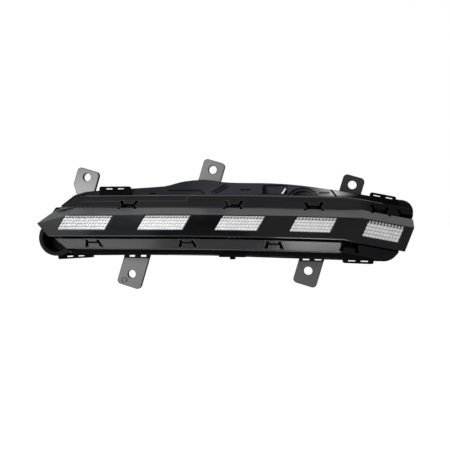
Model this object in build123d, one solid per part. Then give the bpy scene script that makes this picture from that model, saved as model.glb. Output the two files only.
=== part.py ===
from build123d import *
import math
import os

# Daytime running light with five slanted windows.
# X runs along the lamp from the hole of the upper middle tab, Y runs back from the front
# faces of the tabs, and Z is up. Heights are written from the axis of the light bar, and
# the whole lamp is lowered at the end so that the tab hole is the origin.

# Driving dimensions in millimetres and degrees

# Place of the light bar under the hole of the upper middle tab
BAR_DROP = 53.1

# Path of the light bar: straight, then a gentle curve, then a bend, then a straight tail
CURVE_START = -40.0
BEND_START = 122.5
CURVE_RADIUS = 3630.0
BEND_RADIUS = 40.0
BEND_ANGLE = 11.3
DROOP_TILT = 50.0
TAIL_STRETCH = 1.12
PATH_FIRST = -190.0
PATH_LAST = 215.0

# Section of the light bar
FACE_Y = -50.0
FACE_TOP = 9.3
FACE_BOTTOM = -10.3
BEVEL_RUN = 14.0
BEVEL_RISE = 6.7
BAR_BACK = -29.0
BAR_CHAMFER = 0.9
BEZEL_WALL = 2.0
EDGE_LIP = 0.3

# Ends of the light bar: at the left the upper front edge falls in two steps to a tip, and
# the end runs back from the tip with a rise and a run to the right
TIP_X = -156.1
TIP_Z = 1.5
TIP_BEND_X = -137.4
TIP_BEND_Z = 6.4
TIP_TOP_X = -122.0
TIP_FOOT_X = -145.6
TIP_SWEEP = (4.1, 9.9, 6.2)
TAIL_END = BEND_START + 51.3
END_SLANT = 10.7

# Windows: station of the middle, width, slant of the sides
WINDOWS = [
    (-110.2, 45.5, 30.0),
    (-36.4, 42.1, 30.0),
    (31.9, 38.0, 30.0),
    (BEND_START - 26.5, 35.4, 26.0),
    (BEND_START + 27.6, 31.8, 13.0),
]
WINDOW_BOTTOM = -4.45

# Clear lens strip
LENS_GAP = 0.15
WEB_GAP = 0.2
WEB_THICK = 2.0
WEB_BOTTOM = -7.5
WEB_TOP = 7.4
FLUTE_ROWS = 4
FLUTE_RISE = 0.45
BEAD_HEIGHT = 2.2
BEAD_SETBACK = 2.0
REAR_FLUTE_PITCH = 3.2
REAR_FLUTE_RADIUS = 2.6
REAR_FLUTE_DEPTH = 0.5

# Light units behind the windows
STRIP_Y = -24.0
STRIP_THICK = 1.6
STRIP_BOTTOM = -7.0
STRIP_TOP = 9.0
STRIP_FLANGE = 10.0
STRIP_FIRST = -136.0
STRIP_END_GAP = 15.8
BOARD_LENGTH = 30.0
BOARD_HEIGHT = 14.0
BOARD_THICK = 1.6
LED_HEIGHT = 0.9
LED_SIZE = 4.0
LED_THICK = 1.2
CUP_WALL = 1.2
CUP_THROAT = 6.4
CUP_TOP = 7.9
CUP_BOTTOM = -5.6
CUP_FLANGE_LENGTH = 18.0
CUP_FLANGE_HEIGHT = 12.0
CUP_FLANGE_THICK = 1.5
RIVET_SPACING = 24.0
RIVET_DIAMETER = 2.4
RIVET_HEAD = 4.4
RIVET_HEAD_THICK = 1.0
CURVE_PLAY = 0.1

# Screws of the aluminium strip and the housing bosses that take them
STRIP_SCREW_STATIONS = [-73.0, -2.0, 65.0, BEND_START + 8.5]
BOSS_DIAMETER = 8.0
SCREW_SHANK = 2.6
SCREW_LENGTH = 12.0
SCREW_HEAD = 6.5
SCREW_HEAD_THICK = 2.0
SCREW_CLEARANCE = 0.2

# Carrier frame
FRAME_WALL = 2.2
MOUTH_MARGIN = 3.3
MOUTH_DEPTH = 4.4
FRAME_BACK = -14.0
FRAME_TOP = 28.8
FRAME_BOTTOM = -28.4
DECK_FOOT_Y = -34.0
DECK_FOOT_Z = 16.6
DECK_HEAD_Y = -24.5
DECK_HEAD_Z = 27.4
SILL_HEAD_Y = -36.0
SILL_HEAD_Z = -12.8
SILL_FOOT_Y = -25.5
SILL_FOOT_Z = -22.4
LIP_HEAD_Y = -20.4
LIP_HEAD_Z = -22.8
LIP_Y = -19.4
LIP_Z = -27.8
FIN_STATION = BEND_START + 33.6
FIN_THICK = 1.0
FIN_PROUD = 1.2
BAR_GAP = 0.4
REBATE_FIRST = -122.0
REBATE_LAST = -19.6
REBATE_FOOT = 22.4
REBATE_DEPTH = 1.4
FRAME_CORNER = 13.0
FRAME_OUTLINE = [
    (-131.0, -29.6),
    (-143.8, -13.5),
    (-150.5, -6.0),
    (-150.5, 8.0),
    (-121.0, 29.5),
    (-121.0, 44.0),
    (BEND_START + 37.5, 44.0),
    (BEND_START + 59.5, 17.0),
    (BEND_START + 62.5, 8.0),
    (BEND_START + 46.8, -31.4),
]

# Bow-tie notches for the snap hooks: corners of one half, from the foot round to the neck,
# and the two nicks that they leave in the bar's upper edge
DECK_NOTCHES = [-74.2, 24.0, BEND_START - 26.5, BEND_START + 25.5, BEND_START + 50.0]
SILL_NOTCHES = [-108.5, -18.6, 61.0, BEND_START + 5.5]
NOTCH_CORNERS = [(9.0, -2.2), (6.6, 1.5), (9.0, 5.6), (8.2, 6.6), (5.2, 5.6), (4.9, 3.2)]
SILL_NOTCH_STRETCH = 1.3
NICK_X = 7.7
NICK_LENGTH = 2.4
NICK_DEPTH = 1.2
HOOK_LENGTH = 7.0
HOOK_FRONT = -27.4
HOOK_THICK = 1.6
HOOK_LEG = 1.4
HOOK_TOP = 19.4
HOOK_BOTTOM = -15.2

# Latch loops: station, shift along the bar, root height, outer height, width and tilt
LATCHES = [
    (-92.0, 0.0, 27.0, 36.9, 31.0, 0.0),
    (BEND_START + 29.0, 0.0, 27.0, 36.3, 24.0, 0.0),
    (-131.5, 0.0, -26.6, -32.2, 35.0, 3.4),
    (BEND_START - 3.5, 18.5, -26.6, -32.0, 28.0, 0.0),
]
LATCH_FRONT = -17.0
LATCH_THICK = 2.6
LATCH_REACH = 9.0
LATCH_RAIL = 1.5
LATCH_CORNER = 1.8
LATCH_SLOT_LENGTH = 6.6
LATCH_SLOT_HEIGHT = 1.3
LATCH_SLOT_SPACING = 11.4
LATCH_NUB = 2.2
LATCH_NUB_DROP = 2.6
LATCH_NUB_RISE = 0.8
KEEL_X = 22.0
KEEL_LENGTH = 25.0
KEEL_DROP = 1.4
KEEL_NUB = 5.0
KEEL_NUB_DROP = 4.2

# Rear housing
SEAL_GAP = 0.4
HOUSING_BACK = 16.0
HOUSING_WALL = 2.6
FLANGE_WIDTH = 4.2
GROOVE_DEPTH = 2.0
GROOVE_MARGIN = 0.4
GROOVE_WIDTH = 2.8
HUMP_FOOT = 28.9
HUMP_SLOPE = 53.0
HUMP_FIRST = -45.0
HUMP_LAST = 96.0
HUMP_POINTS = [
    (-49.5, 36.9),
    (-40.0, 38.5),
    (-30.6, 41.2),
    (-21.0, 42.7),
    (-8.0, 43.2),
    (8.0, 41.2),
    (20.0, 40.2),
    (46.7, 39.6),
    (65.6, 38.7),
    (84.4, 36.9),
    (102.9, 34.2),
    (120.0, 31.5),
    (139.5, 28.2),
]
HOUSING_TOP_POINT = (BEND_START + 65.0, 21.7)
HOUSING_FOOT_POINT = (BEND_START + 47.7, -33.9)
HOUSING_POINTS = [
    (144.0, 27.4),
    (BEND_START + 46.5, 22.4),
    (BEND_START + 48.5, 23.7),
    HOUSING_TOP_POINT,
    (BEND_START + 64.5, 8.0),
    HOUSING_FOOT_POINT,
    (125.0, -32.4),
    (60.0, -30.6),
    (0.0, -28.9),
    (-60.0, -28.6),
    (-131.5, -29.5),
    (-145.5, -14.0),
    (-154.0, -4.0),
    (-157.6, 10.6),
    (-152.6, 17.1),
    (-147.0, 17.5),
    (-147.0, 19.1),
    (-133.8, 28.8),
    (-122.9, 32.2),
    (-109.0, 33.5),
    (-60.0, 36.2),
]
RECESS_X = 60.7
RECESS_LENGTH = 22.6
RECESS_TOP = 37.2
RECESS_FLOOR = -4.5
LUG_X = 69.1
LUG_Z = 31.4
LUG_LENGTH = 6.0
LUG_THICK = 1.4
LUG_LEAN = 31.0
ARCH_STATION = 85.8
ARCH_Z = 18.7
ARCH_RADIUS = 17.4
ARCH_GROOVE = 1.6
ARCH_BAND = 1.2
ARCH_FLOOR = -9.0
ARCH_SILL = 0.6
SLOT_MARKS = [(33.0, 32.8, 9.0), (106.3, 29.4, 9.0), (-55.5, 29.9, 6.0)]
SLOT_HEIGHT = 1.3
SEAM_POINTS = [(112.6, 32.4), (117.2, 26.5)]
LEDGE_POINTS = [(-41.0, 32.8), (-10.7, 32.6), (-5.6, 29.2)]
LINE_WIDTH = 0.9
MARK_DEPTH = 1.3
RIB_MIDDLES = [(7.0, 35.0), (10.4, 33.7)]
RIB_LENGTH = 14.0
RIB_ANGLE = 32.0
RIB_THICK = 1.2
RIB_PROUD = 0.9
BACK_RIB_THICK = 2.0
BACK_RIB_RISE = 3.0
BACK_RIB_HEIGHT = 44.0
BACK_RIB_STATIONS = [-112.0, -86.0, -36.0, -8.0, 56.0, 84.0, 112.0]
HOUSING_TOP_CORNER = 11.0
HOUSING_FOOT_CORNER = 15.0
LOBE_X = -148.2
LOBE_Z = -12.2
LOBE_RADIUS = 17.3
LOBE_WALL = 3.6
LOBE_FRONT = -24.0
LOBE_FLOOR = -6.0

# Fixing tabs: hole place, side, width and distance from the hole to the end
TABS = [
    (-125.9, 47.2, 1, 22.6, 7.8),
    (0.0, BAR_DROP, 1, 21.2, 8.7),
    (132.2, 37.5, 1, 20.3, 8.3),
    (-80.2, -47.9, -1, 24.6, 12.6),
    (91.2, -43.3, -1, 22.8, 13.9),
]
CRASH_TABS = [(-80.2, -47.9, -28.9), (91.2, -43.3, -31.0)]
TAB_THICK = 4.5
TAB_LEAN = 16.5
TAB_HOLE = 8.0
TAB_CORNER = 4.0
TAB_ROOT = 23.0
TAB_CUT_X = -3.2
TAB_CUT_Y = -22.3
TAB_CUT_ANGLE = 56.0
EJECTOR_X = -87.6
EJECTOR_Z = -53.9
EJECTOR_RADIUS = 2.8
EJECTOR_RING = 0.6
EJECTOR_DEPTH = 0.4
CRASH_SLOT_LENGTH = 6.4
CRASH_SLOT_HEIGHT = 2.3
CRASH_SLOT_SPACING = 11.4

# Driver board in the hump
DRIVER_X = 42.0
DRIVER_Z = 21.0
DRIVER_LENGTH = 66.0
DRIVER_HEIGHT = 26.0
DRIVER_THICK = 1.6
DRIVER_Y = 6.0
DRIVER_SCREW_SPACING = 56.0
DRIVER_SCREW_LENGTH = 6.0
COIL_DIAMETER = 12.0
COIL_BORE = 4.8
COIL_THICK = 6.0
CAPACITOR_DIAMETER = 6.3
CAPACITOR_LENGTH = 8.0
CAPACITOR_PITCH = 9.5

# Connector inlet on the back
INLET_X = 22.0
INLET_Z = -12.0
INLET_LENGTH = 26.0
INLET_HEIGHT = 15.0
INLET_WALL = 1.8
INLET_REACH = 18.0
INLET_NECK = 2.0
INLET_GAP = 0.2
INLET_FLANGE = 4.0
INLET_FLANGE_THICK = 2.5
INLET_SEAL_THICK = 1.5
PIN_COUNT = 4
PIN_PITCH = 4.5
PIN_WIDTH = 1.5
PIN_THICK = 0.8
PIN_LENGTH = 22.0

# Breather on the back
VENT_X = -62.0
VENT_Z = 2.0
VENT_SPIGOT = 8.0
VENT_SPIGOT_LENGTH = 6.0
VENT_CAP = 15.0
VENT_CAP_THICK = 7.0
VENT_WALL = 1.5

# Worked-out values

BAR_TOP = FACE_TOP + BEVEL_RISE
BEVEL_SLOPE = BEVEL_RISE / BEVEL_RUN
BEVEL_STRETCH = math.hypot(1.0, BEVEL_SLOPE)
WINDOW_TOP = FACE_TOP - EDGE_LIP
CURVE_ANGLE = math.degrees((BEND_START - CURVE_START) / CURVE_RADIUS)
TAIL_START = BEND_START + BEND_RADIUS * math.radians(BEND_ANGLE)
HOUSING_FRONT = FRAME_BACK + SEAL_GAP
BOARD_FRONT = STRIP_Y - BOARD_THICK
STRIP_BACK = STRIP_Y + STRIP_THICK
LENS_INSET = BEZEL_WALL + WEB_GAP
WEB_FRONT = FACE_Y + LENS_INSET
WEB_BACK = WEB_FRONT + WEB_THICK
CUP_FRONT = WEB_BACK + WEB_GAP
ALONG = Vector(1, 0, 0)
TILT = math.radians(DROOP_TILT)
INWARD = Vector(0, math.cos(TILT), -math.sin(TILT))
TURN = Vector(0, math.sin(TILT), math.cos(TILT))


def turned(vector, degrees):
    """A direction turned about the axis that the bar curves around."""
    return vector.rotate(Axis((0, 0, 0), TURN), degrees)


CURVE_POINT = Vector(CURVE_START, 0, 0)
CURVE_AXIS = Axis(CURVE_POINT + INWARD * CURVE_RADIUS, TURN)


def on_path(station):
    """Point of the bar's path at a station, and the angle that the bar has turned there."""
    if station <= CURVE_START:
        return Vector(station, 0, 0), 0.0
    bend_station = min(station, BEND_START)
    angle = (bend_station - CURVE_START) / CURVE_RADIUS
    run_in = CURVE_RADIUS * math.sin(angle)
    drop_in = CURVE_RADIUS * (1.0 - math.cos(angle))
    point = CURVE_POINT + ALONG * run_in + INWARD * drop_in
    degrees = math.degrees(angle)
    if station <= BEND_START:
        return point, degrees
    tail_station = min(station, TAIL_START)
    bend = (tail_station - BEND_START) / BEND_RADIUS
    tangent = turned(ALONG, degrees)
    normal = turned(INWARD, degrees)
    point = point + tangent * (BEND_RADIUS * math.sin(bend))
    point = point + normal * (BEND_RADIUS * (1.0 - math.cos(bend)))
    degrees = degrees + math.degrees(bend)
    if station > TAIL_START:
        point = point + turned(ALONG, degrees) * (station - TAIL_START)
    return point, degrees


def across(station):
    """Plane across the bar, its x to the back and its y up."""
    point, degrees = on_path(station)
    depth = turned(Vector(0, 1, 0), degrees)
    return Plane(origin=point, x_dir=depth, z_dir=turned(ALONG, degrees))


def facing(station, depth=0.0):
    """Plane seen from the front of the bar, its x along the bar and its y up."""
    point, degrees = on_path(station)
    back = turned(Vector(0, 1, 0), degrees)
    return Plane(origin=point + back * depth, x_dir=turned(ALONG, degrees), z_dir=-back)


BEND_POINT, BEND_TURNED = on_path(BEND_START)
BEND_AXIS = Axis(BEND_POINT + turned(INWARD, BEND_TURNED) * BEND_RADIUS, TURN)


def polygon(*points):
    """A face with straight sides through the given points."""
    return make_face(Polyline(*points, close=True))


def run(section, first, last):
    """A section carried along the path of the bar, from the straight run to the tail."""
    straight = extrude(across(first) * section, amount=CURVE_START - first)
    curve = revolve(across(CURVE_START) * section, CURVE_AXIS, CURVE_ANGLE)
    bend = revolve(across(BEND_START) * section, BEND_AXIS, BEND_ANGLE)
    tail = extrude(across(TAIL_START) * section, amount=last - TAIL_START)
    return straight + curve + bend + tail


def tall(station):
    """How much higher the light bar is at a station than along its straight run."""
    return TAIL_STRETCH if station > BEND_START else 1.0


def bar_run(corners):
    """Corners of a bar section carried along the path, higher from the bend to the tail."""
    low = polygon(*corners)
    high = polygon(*[(depth, height * TAIL_STRETCH) for depth, height in corners])
    straight = extrude(across(PATH_FIRST) * low, amount=CURVE_START - PATH_FIRST)
    curve = revolve(across(CURVE_START) * low, CURVE_AXIS, CURVE_ANGLE)
    bend = loft([across(BEND_START) * low, across(TAIL_START) * high], ruled=True)
    tail = extrude(across(TAIL_START) * high, amount=PATH_LAST - TAIL_START)
    return straight + curve + bend + tail


def block(low_y, high_y, low_z, high_z):
    """A rectangular section between two depths and two heights."""
    return Pos((low_y + high_y) / 2, (low_z + high_z) / 2) * Rectangle(
        high_y - low_y, high_z - low_z
    )


def prism(face, front, back):
    """A front outline carried from one depth to another."""
    return extrude(Plane.XZ.offset(-back) * face, amount=back - front)


def unit_prism(station, face, front, back):
    """A front outline at a station of the bar, carried from one depth to another."""
    return extrude(facing(station, back) * face, amount=back - front)


def plug(station, x, z, diameter, front, back):
    """A round pin across the bar at a station."""
    return unit_prism(station, Pos(x, z) * Circle(diameter / 2), front, back)


# Light bar


def bar_corners(inset, back):
    """Corners of the bar's section with its walls drawn in by an inset."""
    front = FACE_Y + inset
    shoulder = FACE_TOP + BEVEL_SLOPE * inset - BEVEL_STRETCH * inset
    top = BAR_TOP - inset
    bottom = FACE_BOTTOM + inset
    crest = front + (top - shoulder) / BEVEL_SLOPE
    return [
        (front, bottom + BAR_CHAMFER),
        (front, shoulder),
        (crest, top),
        (back, top),
        (back, bottom),
        (front + BAR_CHAMFER, bottom),
    ]


def bar_body(inset, back):
    """The bar as a solid, cut to its pointed left end and its slanted right end."""
    body = bar_run(bar_corners(inset, back))
    tip = Vector(TIP_X, FACE_Y, TIP_Z)
    knee = Vector(TIP_BEND_X, FACE_Y, TIP_BEND_Z)
    crown = Vector(TIP_TOP_X, FACE_Y, FACE_TOP)
    foot = Vector(TIP_FOOT_X, FACE_Y, FACE_BOTTOM)
    bevel = Vector(0, BEVEL_RUN, BEVEL_RISE)
    steep = (knee - tip).cross(bevel).normalized()
    gentle = (crown - knee).cross(bevel).normalized()
    left = Vector(*TIP_SWEEP).cross(foot - tip).normalized()
    end_plane = facing(TAIL_END)
    slant = math.radians(END_SLANT)
    right = end_plane.x_dir * math.cos(slant) - end_plane.y_dir * math.sin(slant)
    limits = [(tip, steep), (knee, gentle), (tip, left), (end_plane.origin, right)]
    for point, outward in limits:
        limit = Plane(origin=point - outward * inset, z_dir=outward)
        body = split(body, bisect_by=limit, keep=Keep.BOTTOM)
    return body


def window_face(window, margin, low=WINDOW_BOTTOM, high=WINDOW_TOP):
    """Slanted window outline about its middle, drawn in by a margin."""
    station, width, slant = window
    middle = tall(station) * (WINDOW_BOTTOM + WINDOW_TOP) / 2
    lean = math.tan(math.radians(slant))
    half = width / 2 - margin / math.cos(math.radians(slant))
    bottom = tall(station) * low + margin
    top = tall(station) * high - margin
    foot = (bottom - middle) * lean
    head = (top - middle) * lean
    feet = [(foot - half, bottom), (foot + half, bottom)]
    heads = [(head + half, top), (head - half, top)]
    return polygon(*feet, *heads)


def snap_hook(station, wall_middle, reach):
    """Finger behind the deck or the sill that holds the bezel in a notch."""
    back = HOOK_FRONT + HOOK_THICK
    inner = wall_middle - math.copysign(HOOK_LEG / 2, reach)
    leg = Pos(0, wall_middle) * Rectangle(HOOK_LENGTH, HOOK_LEG)
    finger = Pos(0, (inner + reach) / 2) * Rectangle(HOOK_LENGTH, abs(reach - inner))
    stem = unit_prism(station, leg, BAR_BACK - BEZEL_WALL, back)
    return stem + unit_prism(station, finger, HOOK_FRONT, back)


def make_bar_bezel():
    """Gloss black bar, hollow from the back, with five windows and its snap hooks."""
    shell = bar_body(0.0, BAR_BACK) - bar_body(BEZEL_WALL, BAR_BACK + BEZEL_WALL)
    for window in WINDOWS:
        shell -= unit_prism(window[0], window_face(window, 0.0), FACE_Y - BEZEL_WALL, WEB_FRONT)
    for station in DECK_NOTCHES[:-1]:
        stretch = tall(station)
        shell += snap_hook(station, stretch * (BAR_TOP - BEZEL_WALL / 2), stretch * HOOK_TOP)
        for side in (-1, 1):
            nick = Pos(side * NICK_X, stretch * BAR_TOP) * Rectangle(NICK_LENGTH, 2 * NICK_DEPTH)
            shell -= unit_prism(station, nick, FACE_Y, BAR_BACK)
    for station in SILL_NOTCHES:
        stretch = tall(station)
        foot = FACE_BOTTOM + BEZEL_WALL / 2
        shell += snap_hook(station, stretch * foot, stretch * HOOK_BOTTOM)
    return shell


def pad_section(rise):
    """Section of a lens pad: level flutes on the face and a bevelled bead along the top."""
    low = rise * WINDOW_BOTTOM
    high = rise * WINDOW_TOP
    crown = high - BEAD_HEIGHT
    pitch = (crown - low) / FLUTE_ROWS
    root = FACE_Y + FLUTE_RISE
    edges = []
    for row in range(FLUTE_ROWS):
        start = low + row * pitch
        edges.append(
            ThreePointArc((root, start), (FACE_Y, start + pitch / 2), (root, start + pitch))
        )
    bead = (root + BEAD_SETBACK, high)
    edges.append(Polyline((root, crown), bead, (WEB_BACK, high), (WEB_BACK, low), (root, low)))
    return make_face(edges)


def make_lens_strip():
    """Clear moulding with five fluted pads on one web, upright flutes on its back."""
    web = [(WEB_FRONT, WEB_BOTTOM), (WEB_FRONT, WEB_TOP), (WEB_BACK, WEB_TOP), (WEB_BACK, WEB_BOTTOM)]
    room = bar_body(BEZEL_WALL + WEB_GAP / 2, BAR_BACK)
    strip = bar_run(web) & room
    for window in WINDOWS:
        station, width = window[:2]
        pad = extrude(across(station) * pad_section(tall(station)), amount=width, both=True)
        face = window_face(window, LENS_GAP)
        root_face = window_face(window, LENS_GAP, high=WEB_TOP)
        root = unit_prism(station, root_face, WEB_FRONT, WEB_BACK - WEB_THICK / 2) & room
        strip += pad & (unit_prism(station, face, FACE_Y - BEZEL_WALL, WEB_FRONT) + root)
    flutes = []
    for window in WINDOWS:
        station, width = window[:2]
        count = int(width / REAR_FLUTE_PITCH)
        height = tall(station) * (WEB_TOP - WEB_BOTTOM) + 2 * WEB_THICK
        middle = tall(station) * (WEB_TOP + WEB_BOTTOM) / 2
        centre = WEB_BACK + REAR_FLUTE_RADIUS - REAR_FLUTE_DEPTH
        plane = facing(station)
        for column in range(count):
            x = (column - (count - 1) / 2) * REAR_FLUTE_PITCH
            flute = Cylinder(REAR_FLUTE_RADIUS, height)
            flutes.append(plane.location * Pos(x, middle, -centre) * Rot(90, 0, 0) * flute)
    return strip - flutes


# Light units


def make_reflector(window):
    """Metallised cup from the window to the light source, with a flange on the board."""
    station = window[0]

    def cup(margin, throat):
        front = window_face(window, -margin, CUP_BOTTOM, CUP_TOP)
        back = Pos(0, LED_HEIGHT) * Rectangle(throat, throat)
        ends = [facing(station, CUP_FRONT) * front, facing(station, BOARD_FRONT) * back]
        return loft(ends, ruled=True)

    outer = cup(CUP_WALL, CUP_THROAT + 2 * CUP_WALL)
    flange = Pos(0, LED_HEIGHT) * Rectangle(CUP_FLANGE_LENGTH, CUP_FLANGE_HEIGHT)
    outer += unit_prism(station, flange, BOARD_FRONT - CUP_FLANGE_THICK, BOARD_FRONT)
    outer -= cup(0.0, CUP_THROAT)
    return outer & bar_body(LENS_INSET, STRIP_Y)


def make_board(station):
    """Small circuit board behind one cup."""
    face = Pos(0, LED_HEIGHT) * Rectangle(BOARD_LENGTH, BOARD_HEIGHT)
    board = unit_prism(station, face, BOARD_FRONT, STRIP_Y)
    for side in (-1, 1):
        x = side * RIVET_SPACING / 2
        board -= plug(station, x, LED_HEIGHT, RIVET_DIAMETER, BOARD_FRONT, STRIP_Y)
    return board


def make_heat_strip():
    """Aluminium strip bent along the bar, with a folded flange along its top."""
    plate = block(STRIP_Y, STRIP_BACK, STRIP_BOTTOM, STRIP_TOP)
    fold = block(STRIP_Y, STRIP_Y + STRIP_FLANGE, STRIP_TOP - STRIP_THICK, STRIP_TOP)
    strip = run(plate + fold, STRIP_FIRST, TAIL_END - STRIP_END_GAP)
    back = STRIP_BACK + CURVE_PLAY
    for station in STRIP_SCREW_STATIONS:
        strip -= plug(station, 0, LED_HEIGHT, SCREW_SHANK + SCREW_CLEARANCE, STRIP_Y, back)
    for window in WINDOWS:
        for side in (-1, 1):
            x = side * RIVET_SPACING / 2
            strip -= plug(window[0], x, LED_HEIGHT, RIVET_DIAMETER, STRIP_Y, back)
    return strip


def make_rivet(station, x):
    """Rivet through a board and the strip."""
    head = plug(station, x, LED_HEIGHT, RIVET_HEAD, BOARD_FRONT - RIVET_HEAD_THICK, BOARD_FRONT)
    shank = plug(station, x, LED_HEIGHT, RIVET_DIAMETER, BOARD_FRONT, STRIP_BACK + CURVE_PLAY)
    tail_front = STRIP_BACK + CURVE_PLAY
    tail = plug(station, x, LED_HEIGHT, RIVET_HEAD, tail_front, tail_front + RIVET_HEAD_THICK)
    return head + shank + tail


def make_strip_screw(station):
    """Self-tapping screw that holds the strip on a housing boss."""
    head = plug(station, 0, LED_HEIGHT, SCREW_HEAD, STRIP_Y - SCREW_HEAD_THICK, STRIP_Y)
    shank = plug(station, 0, LED_HEIGHT, SCREW_SHANK, STRIP_Y, STRIP_BACK + SCREW_LENGTH)
    return head + shank


# Carrier frame


def end_outline(grow):
    """Front outline that shapes both ends of the frame, grown by a margin."""
    face = polygon(*FRAME_OUTLINE)
    foot = face.vertices().sort_by_distance(FRAME_OUTLINE[-1])[0]
    face = fillet(foot, FRAME_CORNER)
    return offset(face, amount=grow, kind=Kind.INTERSECTION) if grow else face


def frame_section():
    """Section of the frame: deck above the bar, sill and lip below it."""
    return polygon(
        (FRAME_BACK, FRAME_TOP),
        (DECK_HEAD_Y, DECK_HEAD_Z),
        (DECK_FOOT_Y, DECK_FOOT_Z),
        (SILL_HEAD_Y, SILL_HEAD_Z),
        (SILL_FOOT_Y, SILL_FOOT_Z),
        (LIP_HEAD_Y, LIP_HEAD_Z),
        (LIP_Y, LIP_Z),
        (FRAME_BACK, FRAME_BOTTOM),
    )


def along_frame(section, grow, back=-FACE_Y):
    """A section along the bar, ended by the frame's outline."""
    return run(section, PATH_FIRST, PATH_LAST) & prism(end_outline(grow), 2 * FACE_Y, back)


def notch_face(foot, side):
    """Outline of a notch open to the bar: flared foot, narrow waist and two flared horns."""
    other = [(-x, rise) for x, rise in reversed(NOTCH_CORNERS)]
    return polygon(*[(x, foot + side * rise) for x, rise in NOTCH_CORNERS + other])


def latch_loop(station, shift, root, outer, width, tilt):
    """Loop that reaches over the housing's edge: a plate with two slots and a rail behind it."""
    place = Pos(shift, (root + outer) / 2) * Rot(0, 0, tilt)
    side = math.copysign(1.0, outer)
    half = abs(outer - root) / 2
    plate = Rectangle(width, 2 * half)
    free_corners = plate.vertices().filter_by(lambda vertex: vertex.Y * side > 0)
    plate = fillet(free_corners, LATCH_CORNER)
    slot_z = side * (half - LATCH_RAIL - LATCH_SLOT_HEIGHT / 2)
    nubs = Sketch()
    for step in (-0.5, 0.5):
        x = step * LATCH_SLOT_SPACING
        plate -= Pos(x, slot_z) * Rectangle(LATCH_SLOT_LENGTH, LATCH_SLOT_HEIGHT)
        nubs += Pos(x, slot_z - side * LATCH_NUB_DROP) * Circle(LATCH_NUB / 2)
    rail = Pos(0, side * (half - LATCH_RAIL / 2)) * Rectangle(width - 2 * LATCH_CORNER, LATCH_RAIL)
    loop = unit_prism(station, place * plate, LATCH_FRONT, LATCH_FRONT + LATCH_THICK)
    loop += unit_prism(station, place * nubs, LATCH_FRONT - LATCH_NUB_RISE, LATCH_FRONT + LATCH_THICK)
    return loop + unit_prism(station, place * rail, LATCH_FRONT, LATCH_FRONT + LATCH_REACH)


def latch_room(station, shift, root, outer, width, tilt):
    """Room for a loop's plate, with a gap all round."""
    place = Pos(shift, (root + outer) / 2) * Rot(0, 0, tilt)
    face = place * Rectangle(width + 2 * BAR_GAP, abs(outer - root) + 2 * BAR_GAP)
    return unit_prism(station, face, LATCH_FRONT - BAR_GAP, FRAME_BACK)


def make_front_frame():
    """Moulded frame round the bar, hollow to the back, with notches and latch loops."""
    section = frame_section()
    mouth = block(
        FRAME_BACK - MOUTH_DEPTH,
        FRAME_BACK + FRAME_WALL,
        FRAME_BOTTOM + MOUTH_MARGIN,
        FRAME_TOP - MOUTH_MARGIN,
    )
    hollow = offset(section, amount=-FRAME_WALL, kind=Kind.INTERSECTION) + mouth
    frame = along_frame(section, 0.0)
    for latch in LATCHES:
        frame += latch_loop(*latch)
    frame -= along_frame(hollow, -FRAME_WALL)
    gap_back = HOOK_FRONT + 2 * HOOK_THICK
    frame -= bar_body(-BAR_GAP, gap_back)
    frame -= run(block(2 * FACE_Y, gap_back, SILL_HEAD_Z, FACE_BOTTOM), TIP_FOOT_X, TAIL_END)
    fin = polygon(
        (SILL_HEAD_Y - FIN_PROUD, SILL_HEAD_Z),
        (SILL_HEAD_Y + FIN_PROUD, SILL_HEAD_Z),
        (SILL_FOOT_Y + FIN_PROUD, SILL_FOOT_Z),
        (SILL_FOOT_Y - FIN_PROUD, SILL_FOOT_Z),
    )
    fin_body = extrude(across(FIN_STATION) * fin, amount=FIN_THICK)
    frame += fin_body & prism(end_outline(0.0), 2 * FACE_Y, FRAME_BACK)
    for station in DECK_NOTCHES:
        notch = notch_face(tall(station) * DECK_FOOT_Z, 1)
        frame -= unit_prism(station, notch, FACE_Y, DECK_HEAD_Y)
    for station in SILL_NOTCHES:
        notch = notch_face(SILL_HEAD_Z, -SILL_NOTCH_STRETCH)
        frame -= unit_prism(station, notch, FACE_Y, SILL_FOOT_Y)
    lean = (DECK_HEAD_Y - DECK_FOOT_Y) / (DECK_HEAD_Z - DECK_FOOT_Z)
    foot_y = DECK_FOOT_Y + lean * (REBATE_FOOT - DECK_FOOT_Z)
    rebate = polygon(
        (foot_y - REBATE_DEPTH, REBATE_FOOT),
        (foot_y + REBATE_DEPTH, REBATE_FOOT),
        (DECK_HEAD_Y + REBATE_DEPTH, DECK_HEAD_Z),
        (DECK_HEAD_Y + REBATE_DEPTH, FRAME_TOP),
        (foot_y - REBATE_DEPTH, FRAME_TOP),
    )
    frame -= extrude(across(REBATE_FIRST) * rebate, amount=REBATE_LAST - REBATE_FIRST)
    keel = Pos(KEEL_X, LIP_Z - KEEL_DROP / 2) * Rectangle(KEEL_LENGTH, 2 * KEEL_DROP)
    nub = Pos(KEEL_X, LIP_Z - KEEL_NUB_DROP / 2) * Rectangle(KEEL_NUB, KEEL_NUB_DROP)
    frame += prism(keel, LIP_Y - KEEL_DROP, FRAME_BACK - KEEL_DROP)
    frame += prism(nub, LIP_Y, FRAME_BACK - KEEL_DROP)
    return frame


# Seal between frame and housing


def seal_ring(front, back):
    """Ring under the frame's edge, in the groove of the housing."""
    near = GROOVE_MARGIN
    far = GROOVE_MARGIN + GROOVE_WIDTH
    outer = along_frame(block(front, back, FRAME_BOTTOM + near, FRAME_TOP - near), -near)
    inner = block(front - far, back + far, FRAME_BOTTOM + far, FRAME_TOP - far)
    return outer - along_frame(inner, -far)


# Rear housing


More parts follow.
